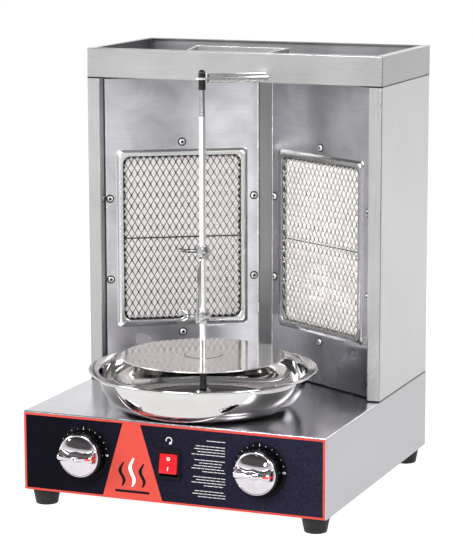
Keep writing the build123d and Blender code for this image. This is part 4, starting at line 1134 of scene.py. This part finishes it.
class BROILER_OT_knobs(bpy.types.Operator):
    """Make the dials, the knob skirts and the plated caps with their grips"""
    bl_idname = "broiler.knobs"
    bl_label = "Knobs"

    # Millimetres from the front wall
    skirt_face = 16.1

    def execute(self, context):
        gloss = moulded("knob_black", (0.003, 0.003, 0.004), (0.006, 0.006, 0.007), 0.12, depth=0.004 * MM,
                        gleam=0.22)
        dial = moulded("dial_black", (0.002, 0.002, 0.003), (0.004, 0.004, 0.005), 0.2, depth=0.004 * MM,
                       gleam=0.06)
        chrome = bright_metal("cap_chrome", (0.62, 0.585, 0.62), 0.03, 0.08, scale=60)
        white = moulded("dial_print", colours().print_white, (0.7, 0.7, 0.7), 0.5)
        red = moulded("index_red", (0.72, 0.02, 0.02), (0.6, 0.015, 0.015), 0.25, coat=0.4)
        for side in ("left", "right"):
            place = front_place(side + "_knob_bezel")
            self.dial(side, place, dial)
            self.figures(side, place, white)
            self.skirt(side, place, gloss)
            self.cap(side, place, chrome)
            self.grip(side, place, chrome)
            self.index(side, place, red)
        return {"FINISHED"}

    def dial(self, side, place, material):
        """Round dial plate with a rolled edge and a shallow step."""
        back, face, edge, roll = 0.6, 2.6, 34, 1.2
        profile = [(9, back), (edge - 0.3, back), (edge, back + 0.3)]
        profile += arc((edge - roll, face - roll), roll, 0, 90, 5)
        profile += [(29.6, face), (29.2, face - 0.35), (9.3, face - 0.35), (9, face - 0.6)]
        turned_piece(side + "_dial", mm(*profile), place, 128, material, "frame", "black_gloss",
                     [side + "_knob_bezel"])

    def figures(self, side, place, material):
        """Plain figures and ticks round the dial: 0 at the right, then 1 and 2."""
        bm = bmesh.new()
        for text, angle in (("0", 0), ("1", 90), ("2", 180)):
            spot = Matrix.Rotation(radians(angle), 4, "Z") @ Matrix.Translation((31.4 * MM, 0, 2.61 * MM))
            add_text(bm, text, sizes().dial_letter, place @ spot @ Matrix.Rotation(-pi / 2, 4, "Z"))
        for step in (1, 2, 3, 4, 5, 7, 8, 9, 10, 11):
            turn = place @ Matrix.Rotation(radians(15 * step), 4, "Z")
            block(bm, *mm((30.6, -0.16, 2.6), (32.2, 0.16, 2.64)), turn)
        make_piece(side + "_dial_figures", bm, material, "frame", "front_film")

    def skirt(self, side, place, material):
        """Glossy skirt with rounded shoulders, and the hub that slides on the stem."""
        rear, face, edge, hub, bore, start = 7.6, self.skirt_face, 28.75, 7, 3.2, 3.1
        profile = [(bore, start), (hub, start), (hub, rear), (edge - 0.8, rear)]
        profile += arc((edge - 0.8, rear + 0.8), 0.8, -90, 0, 4) + [(edge - 0.5, face - 2.2)]
        profile += arc((edge - 2.2, face - 1.7), 1.7, 0, 90, 5) + [(bore, face)]
        turned_piece(side + "_skirt", mm(*profile), place, 128, material, side + "_knob", "black_gloss",
                     [side + "_knob"])

    def cap(self, side, place, material):
        """Plated cap: a rolled rim round a low dome."""
        edge, top, ball = 26.5, 8, 60
        profile = [(0, 0.2), (edge - 0.2, 0.2), (edge, 0.5)]
        profile += arc((edge - 1.2, 1.9), 1.2, 0, 95, 7) + [(edge - 1.7, 2.75)]
        for share in (0.92, 0.88, 0.8, 0.7, 0.6, 0.5, 0.4, 0.3, 0.2, 0.1, 0.0):
            reach = edge * share
            profile.append((reach, top - ball + (ball ** 2 - reach ** 2) ** 0.5))
        turned_piece(side + "_cap", mm(*profile), place @ lifted(self.skirt_face * MM), 128, material,
                     side + "_knob", "chrome", [side + "_knob_cap"], 60, closed=False)

    def grip(self, side, place, material):
        """Waisted grip across the cap."""
        grip = place @ lifted(24.1 * MM)
        layers = ((-6.0, 1.0, 1.2), (-3.0, 1.0, 1.1), (-0.5, 0.995, 0.98), (2.0, 0.985, 0.84),
                  (4.2, 0.97, 0.7), (5.8, 0.955, 0.6), (6.9, 0.93, 0.5), (7.5, 0.90, 0.42),
                  (7.85, 0.82, 0.3), (7.95, 0.6, 0.16), (7.95, 0.25, 0.05))
        rings = [[grip @ point for point in self.grip_outline(*layer)] for layer in layers]
        bm = bmesh.new()
        join_rings(bm, rings + [[grip @ Vector((0, 0, 7.9 * MM))]])
        make_piece(side + "_grip", bm, material, side + "_knob", "chrome", sharp=60)

    def grip_outline(self, height, along, wide):
        """Waisted outline of the grip at one height: fuller at both ends and round the middle."""
        points = []
        for x, y in circle(72):
            u = abs(x) ** 0.42 * (1 if x >= 0 else -1)
            v = abs(y) ** 0.55 * (1 if y >= 0 else -1)
            dome = max(0.0, 1 - (u / 0.36) ** 2) ** 1.5
            waist = 4.8 + 5.0 * abs(u) ** 2.2 + 2.6 * dome
            saddle = max(0.0, height) * 0.16 * (1 - dome) * (1 - abs(u) ** 3)
            points.append(Vector((u * 24.6 * along, v * waist * wide, height - saddle)) * MM)
        return points

    def index(self, side, place, material):
        """Red index let into the right end of the grip."""
        bm = bmesh.new()
        outline = rounded_outline(7.5 * MM, 2.6 * MM, 1.0 * MM, 4)
        plate(bm, outline, place @ Matrix.Translation((18.6 * MM, 0, 31.9 * MM)), 0.3 * MM)
        block(bm, *mm((22.6, -1.2, 21.5), (24.9, 1.2, 31)), place)
        make_piece(side + "_index", bm, material, side + "_knob", "red_plastic")


class BROILER_OT_switch(bpy.types.Operator):
    """Make the red rocker with its ring and bar marks"""
    bl_idname = "broiler.switch"
    bl_label = "Rocker switch"

    # Half the rocker's height and width, in millimetres
    half = 12.2
    width = 11.6

    def execute(self, context):
        place = front_place("switch_housing") @ lifted(-3.5 * MM) @ Matrix.Rotation(-radians(11), 4, "X")
        half = self.half
        side = ((half, 8.5), (0, 7.6), (-half, 8.5), (1.5 - half, -1), (-4, -3), (4, -3), (half - 1.5, -1))
        rings = [[place @ Vector(point) for point in mm(*((x, y, z) for y, z in side))]
                 for x in (-self.width, self.width)]
        bm = bmesh.new()
        for row in join_rings(bm, rings):
            bm.faces.new(row)
        bmesh.ops.bevel(bm, geom=bm.edges[:], offset=0.6 * MM, segments=3, affect="EDGES", profile=0.5)
        red = moulded("rocker_red", colours().rocker, shaded(colours().rocker, 0.85), 0.14, depth=0.006 * MM,
                      gleam=0.25)
        make_piece("rocker_face", bm, red, "rocker", "red_plastic", ["rocker"], 30)
        self.marks(place)
        return {"FINISHED"}

    def marks(self, place):
        """Ring on the upper half and bar on the lower half."""
        slope = 0.0737
        upper, lower = (place @ Matrix.Translation((0, sign * self.half / 2 * MM, 8.06 * MM))
                        @ Matrix.Rotation(sign * slope, 4, "X") for sign in (1, -1))
        bm = bmesh.new()
        lathe(bm, mm((1.25, 0), (2.1, 0), (2.1, 0.05), (1.25, 0.05)), upper, 32, closed=True)
        plate(bm, rounded_outline(0.95 * MM, 5.0 * MM, 0.3 * MM, 3), lower, 0.05 * MM)
        white = moulded("switch_print", colours().print_white, (0.75, 0.72, 0.72), 0.45)
        make_piece("rocker_marks", bm, white, "rocker", "front_film")


class BROILER_OT_film(bpy.types.Operator):
    """Print the front film: its border, the wedge with heat waves, and plain rules"""
    bl_idname = "broiler.film"
    bl_label = "Front film"

    # Middle of the heat waves across the film, in millimetres
    wave_middle = -51.9

    def execute(self, context):
        ground, white, red = colours().film, colours().print_white, colours().accent
        dress("front_overlay", moulded("film_ground", ground, shaded(ground, 2.6, 0.0025), 0.36, tooth=620,
                                       share=0.42, gleam=0.03, right_paling=4.2))
        accent = moulded("film_accent", red, shaded(red, 1.08), 0.38, tooth=1700, gleam=0.15)
        light = moulded("film_white", white, (0.66, 0.66, 0.68), 0.45, tooth=1700)
        navy = moulded("film_navy", ground, shaded(ground, 1.8, 0.004), 0.36, tooth=1900, gleam=0.1)
        self.border(accent)
        self.wedge(accent)
        self.waves(navy, light)
        self.rules(moulded("film_rules", shaded(white, 0.62), (0.4, 0.4, 0.41), 0.45, tooth=1700))
        return {"FINISHED"}

    def border(self, material):
        """Coloured line all round the film."""
        width, height = FILM_HIGH.x - FILM_LOW.x, FILM_HIGH.z - FILM_LOW.z
        place = film_place(0, 0, height / 2)
        inner, outer = (rounded_outline(width - 2 * inset, height - 2 * inset, 0.8 * MM, 3)
                        for inset in (sizes().border, 0))
        bm = bmesh.new()
        join_rings(bm, [placed(place, line, lift) for line, lift in (
            (inner, 0), (outer, 0), (outer, sizes().ink), (inner, sizes().ink))], closed=True)
        make_piece("film_border", bm, material, "frame", "front_film")

    def wedge(self, material):
        """Plain coloured wedge between the left dial and the switch."""
        line = sizes().border
        top = FILM_HIGH.z - FILM_LOW.z - line
        outline = [(-91.4 * MM, line), (-12.1 * MM, line), (-40.9 * MM, top), (-64.0 * MM, top)]
        bm = bmesh.new()
        plate(bm, outline, film_place(0), sizes().ink)
        make_piece("film_wedge", bm, material, "frame", "front_film")

    def waves(self, navy, white):
        """Plain sign for heat: rising waves over a bar."""
        apart = 13.5
        low, high, middle_high = 17.0, 47.0, 53.0
        bm = bmesh.new()
        for offset in (-apart, apart):
            self.wave(bm, self.wave_middle + offset, low, high)
        plate(bm, rounded_outline(46 * MM, 3.2 * MM, 1.4 * MM, 4),
              film_place(1, self.wave_middle * MM, 10.5 * MM), sizes().ink)
        make_piece("film_waves_dark", bm, navy, "frame", "front_film")
        bm = bmesh.new()
        self.wave(bm, self.wave_middle, low, middle_high)
        make_piece("film_wave_light", bm, white, "frame", "front_film")

    def wave(self, bm, x, low, high):
        """One rising wave, widest in its middle."""
        steps = 24
        left, right = [], []
        for i in range(steps + 1):
            t = i / steps
            middle = x + 2.6 * sin(tau * t * 1.15)
            half = 0.5 + 1.9 * sin(pi * (0.12 + 0.8 * t))
            y = low + (high - low) * t
            left.append((middle - half, y))
            right.append((middle + half, y))
        outline = mm(*left, *reversed(right))
        rows = [[bm.verts.new(point) for point in placed(film_place(layer), outline)] for layer in (1, 2)]
        count = len(outline)
        for row in rows:
            for i in range(steps):
                bm.faces.new([row[i], row[i + 1], row[count - 2 - i], row[count - 1 - i]])
        for i in range(count):
            j = (i + 1) % count
            bm.faces.new([rows[0][i], rows[0][j], rows[1][j], rows[1][i]])

    def rules(self, white):
        """Sign for turning over the switch, and plain rules beside it."""
        ink = sizes().ink
        centre = film_place(0, -2.5 * MM, 79.5 * MM)
        start, end, steps = 200, -50, 32
        bm = bmesh.new()
        lines = [arc((0, 0), reach, start, end, steps) for reach in (3.1 * MM, 4.3 * MM)]
        inner, outer = ([bm.verts.new(point) for point in placed(centre, line, ink)] for line in lines)
        for i in range(steps):
            bm.faces.new([inner[i], inner[i + 1], outer[i + 1], outer[i]])
        head = mm((5.8, 0), (1.6, 0), (3.7, -3.2))
        tip = centre @ Matrix.Rotation(radians(end), 4, "Z")
        bm.faces.new([bm.verts.new(point) for point in placed(tip, head, ink)])
        right = 71
        lengths = (24, 0, 38, 40, 36, 44, 0, 40, 34, 41, 44, 30, 0, 42, 38, 44, 28, 0, 40, 43, 36)
        for row, length in enumerate(lengths):
            y = (83 - row * 3.5) * MM
            start = right - length
            for word in range(length // 6):
                end = start + 4 + (row * 5 + word * 3) % 4
                block(bm, (start * MM, y, 0), (min(end, right) * MM, y + 0.8 * MM, ink), film_place(0))
                start = end + 0.9
        make_piece("film_rules", bm, white, "frame", "front_film")


class BROILER_OT_feet(bpy.types.Operator):
    """Make the rubber feet with rounded edges and a moulded step"""
    bl_idname = "broiler.feet"
    bl_label = "Feet"

    def execute(self, context):
        low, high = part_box("feet")
        height = high.z / MM
        top, foot, roll, soft = 18, 14, 1.2, 0.9
        profile = [(3, height - 9), (6, height - 9), (6, 0.6), (6.6, 0)]
        profile += arc((foot - roll, roll), roll, -90, -8, 5)
        profile += [(top - soft, height - 3.6), (top - 0.25, height - 3.2)]
        profile += arc((top - soft, height - soft), soft, 0, 90, 4) + [(3, height)]
        inset = top * MM
        bm = bmesh.new()
        for x in (low.x + inset, high.x - inset):
            for y in (low.y + inset, high.y - inset):
                lathe(bm, mm(*profile), Matrix.Translation((x, y, 0)), 64, closed=True)
        rubber = moulded("foot_rubber", (0.008, 0.008, 0.009), (0.022, 0.022, 0.023), 0.5, tooth=800,
                         depth=0.06 * MM, gleam=0.25)
        make_piece("rubber_feet", bm, rubber, "frame", "rubber", ["feet"])
        return {"FINISHED"}


class BROILER_OT_studio(bpy.types.Operator):
    """Set the pale floor, the soft lights, the white surround and the camera"""
    bl_idname = "broiler.studio"
    bl_label = "Studio"

    def execute(self, context):
        self.floor()
        self.surround()
        self.softbox("key", (-0.3, -2.5, 2.0), (0, 0, 0.3), 1.1, 1.1, 105)
        self.softbox("left", (-1.9, -1.3, 1.1), (0.1, 0.05, 0.3), 0.8, 0.8, 38)
        self.softbox("right", (2.1, -0.95, 1.3), (-0.1, 0.07, 0.36), 1.0, 1.0, 38)
        self.softbox("strip", (0.27, -1.36, 0.3), (0, SPIT_Y, 0.5), 0.06, 0.12, 0.8)
        self.softbox("back", (1.1, 2.3, 1.7), (1.0, 2.1, 0), 1.6, 1.6, 28)
        self.camera()
        context.scene.view_settings.view_transform = "Standard"
        context.scene.view_settings.look = "None"
        return {"FINISHED"}

    def floor(self):
        """Pale floor that glows with painted light, dimmer far out to the right."""
        bm = bmesh.new()
        bmesh.ops.create_circle(bm, cap_ends=True, segments=96, radius=9.0)
        material, shader, place = new_material("floor_white")
        vector = place["Object"]
        x, y = part_of(vector, "X"), part_of(vector, "Y")
        tone = blend_colour(noise(vector, 3.0), (0.93, 0.93, 0.93, 1), (0.96, 0.96, 0.96, 1))
        right = calculate("SUBTRACT", calculate("MULTIPLY", x, 0.95), calculate("MULTIPLY", y, 0.31))
        tone = darkened(tone, spread(right, 0.65, 1.1, 1.0, 0.7))
        beside = calculate("SUBTRACT", x, calculate("ABSOLUTE", y))
        tone = darkened(tone, spread(beside, 0.3, 0.8, 1.0, 0.45))
        # Its colour is given as emission: the floor glows with painted light.
        feed(shader, {"Base Color": darkened(tone, 0.25), "Emission Color": tone, "Emission Strength": 0.97,
                      "Roughness": 0.9})
        piece_from("floor", bm, material)

    def surround(self):
        """White surround under a dim ceiling, with a dark screen beside the camera, as in a studio."""
        world = bpy.data.worlds.new("studio")
        world.use_nodes = True
        tree = world.node_tree
        tree.nodes.clear()
        place = tree.nodes.new("ShaderNodeTexCoord").outputs["Generated"]
        x, y, z = (part_of(place, axis) for axis in "XYZ")
        towards = calculate("SUBTRACT", calculate("MULTIPLY", z, 0.35), calculate("MULTIPLY", y, 0.87))
        towards = calculate("SUBTRACT", towards, calculate("MULTIPLY", x, 0.35))
        screen = calculate("MULTIPLY", spread(towards, 0.74, 0.86, 0.0, 1.0), spread(z, 0.03, 0.09, 0.0, 1.0))
        tone = spread(z, 0.28, 0.5, 1.0, 0.24)
        tone = calculate("MULTIPLY", tone, spread(screen, 0.0, 1.0, 1.0, 0.12))
        tone = calculate("MULTIPLY", tone, spread(x, 0.5, 0.9, 1.0, 0.3))
        tint = add(tree, "ShaderNodeCombineColor", {"Red": tone, "Green": tone, "Blue": tone})
        lit = add(tree, "ShaderNodeBackground", {"Color": tint.outputs["Color"], "Strength": 1.0})
        seen = add(tree, "ShaderNodeBackground", {"Color": (1, 1, 1, 1)})
        straight = tree.nodes.new("ShaderNodeLightPath").outputs["Is Camera Ray"]
        mix = add(tree, "ShaderNodeMixShader", {
            "Fac": straight, 1: lit.outputs["Background"], 2: seen.outputs["Background"]})
        add(tree, "ShaderNodeOutputWorld", {"Surface": mix.outputs["Shader"]})
        bpy.context.scene.world = world

    def softbox(self, name, place, target, width, height, power):
        """Large soft light aimed at a point."""
        light = bpy.data.lights.new(name, "AREA")
        light.shape = "RECTANGLE"
        light.size = width
        light.size_y = height
        light.energy = power
        lamp = linked(name, light)
        lamp.location = place
        lamp.rotation_euler = (Vector(target) - Vector(place)).to_track_quat("-Z", "Y").to_euler()
        lamp.visible_camera = False

    def camera(self):
        """Long lens from the right, a little above the crown."""
        azimuth, elevation, roll = radians(21.679), radians(10.118), radians(-0.112)
        stand = Vector((1.083701, -2.510282, 0.764744))
        lens = bpy.data.cameras.new("camera")
        lens.sensor_width = 36.0
        lens.lens = 149.06
        lens.clip_end = 50.0
        eye = linked("camera", lens)
        back = Vector((sin(azimuth) * cos(elevation), -cos(azimuth) * cos(elevation), sin(elevation)))
        eye.rotation_mode = "QUATERNION"
        eye.rotation_quaternion = (-back).to_track_quat("-Z", "Y") @ Quaternion((0, 0, 1), roll)
        eye.location = Vector((0, FRONT_Y, BASE_LOW.z)) + stand
        bpy.context.scene.camera = eye


class BROILER_PT_pieces(bpy.types.Panel):
    """Lists what dresses the broiler"""
    bl_label = "Broiler"
    bl_idname = "BROILER_PT_pieces"
    bl_space_type = "VIEW_3D"
    bl_region_type = "UI"
    bl_category = "Broiler"

    def draw(self, context):
        column = self.layout.column(align=True)
        for operator in OPERATORS:
            column.operator(operator.bl_idname)
        for group in (context.scene.broiler_sizes, context.scene.broiler_colours):
            column.separator()
            for name in group.bl_rna.properties.keys():
                if name not in ("rna_type", "name"):
                    column.prop(group, name)


OPERATORS = (BROILER_OT_steelwork, BROILER_OT_burners, BROILER_OT_screws, BROILER_OT_spit, BROILER_OT_pan,
             BROILER_OT_knobs, BROILER_OT_switch, BROILER_OT_film, BROILER_OT_feet, BROILER_OT_studio)
CLASSES = (BroilerSizes, BroilerColours, *OPERATORS, BROILER_PT_pieces)


def register():
    """Register the classes and hang the settings on the scene."""
    for entry in CLASSES:
        bpy.utils.register_class(entry)
    bpy.types.Scene.broiler_sizes = PointerProperty(type=BroilerSizes)
    bpy.types.Scene.broiler_colours = PointerProperty(type=BroilerColours)


def unregister():
    """Take the settings and the classes away again."""
    del bpy.types.Scene.broiler_colours
    del bpy.types.Scene.broiler_sizes
    for entry in reversed(CLASSES):
        bpy.utils.unregister_class(entry)


def main():
    """Make every piece, then the studio."""
    register()
    bpy.ops.broiler.steelwork()
    bpy.ops.broiler.burners()
    bpy.ops.broiler.screws()
    bpy.ops.broiler.spit()
    bpy.ops.broiler.pan()
    bpy.ops.broiler.knobs()
    bpy.ops.broiler.switch()
    bpy.ops.broiler.film()
    bpy.ops.broiler.feet()
    bpy.ops.broiler.studio()


if __name__ == "__main__":
    main()
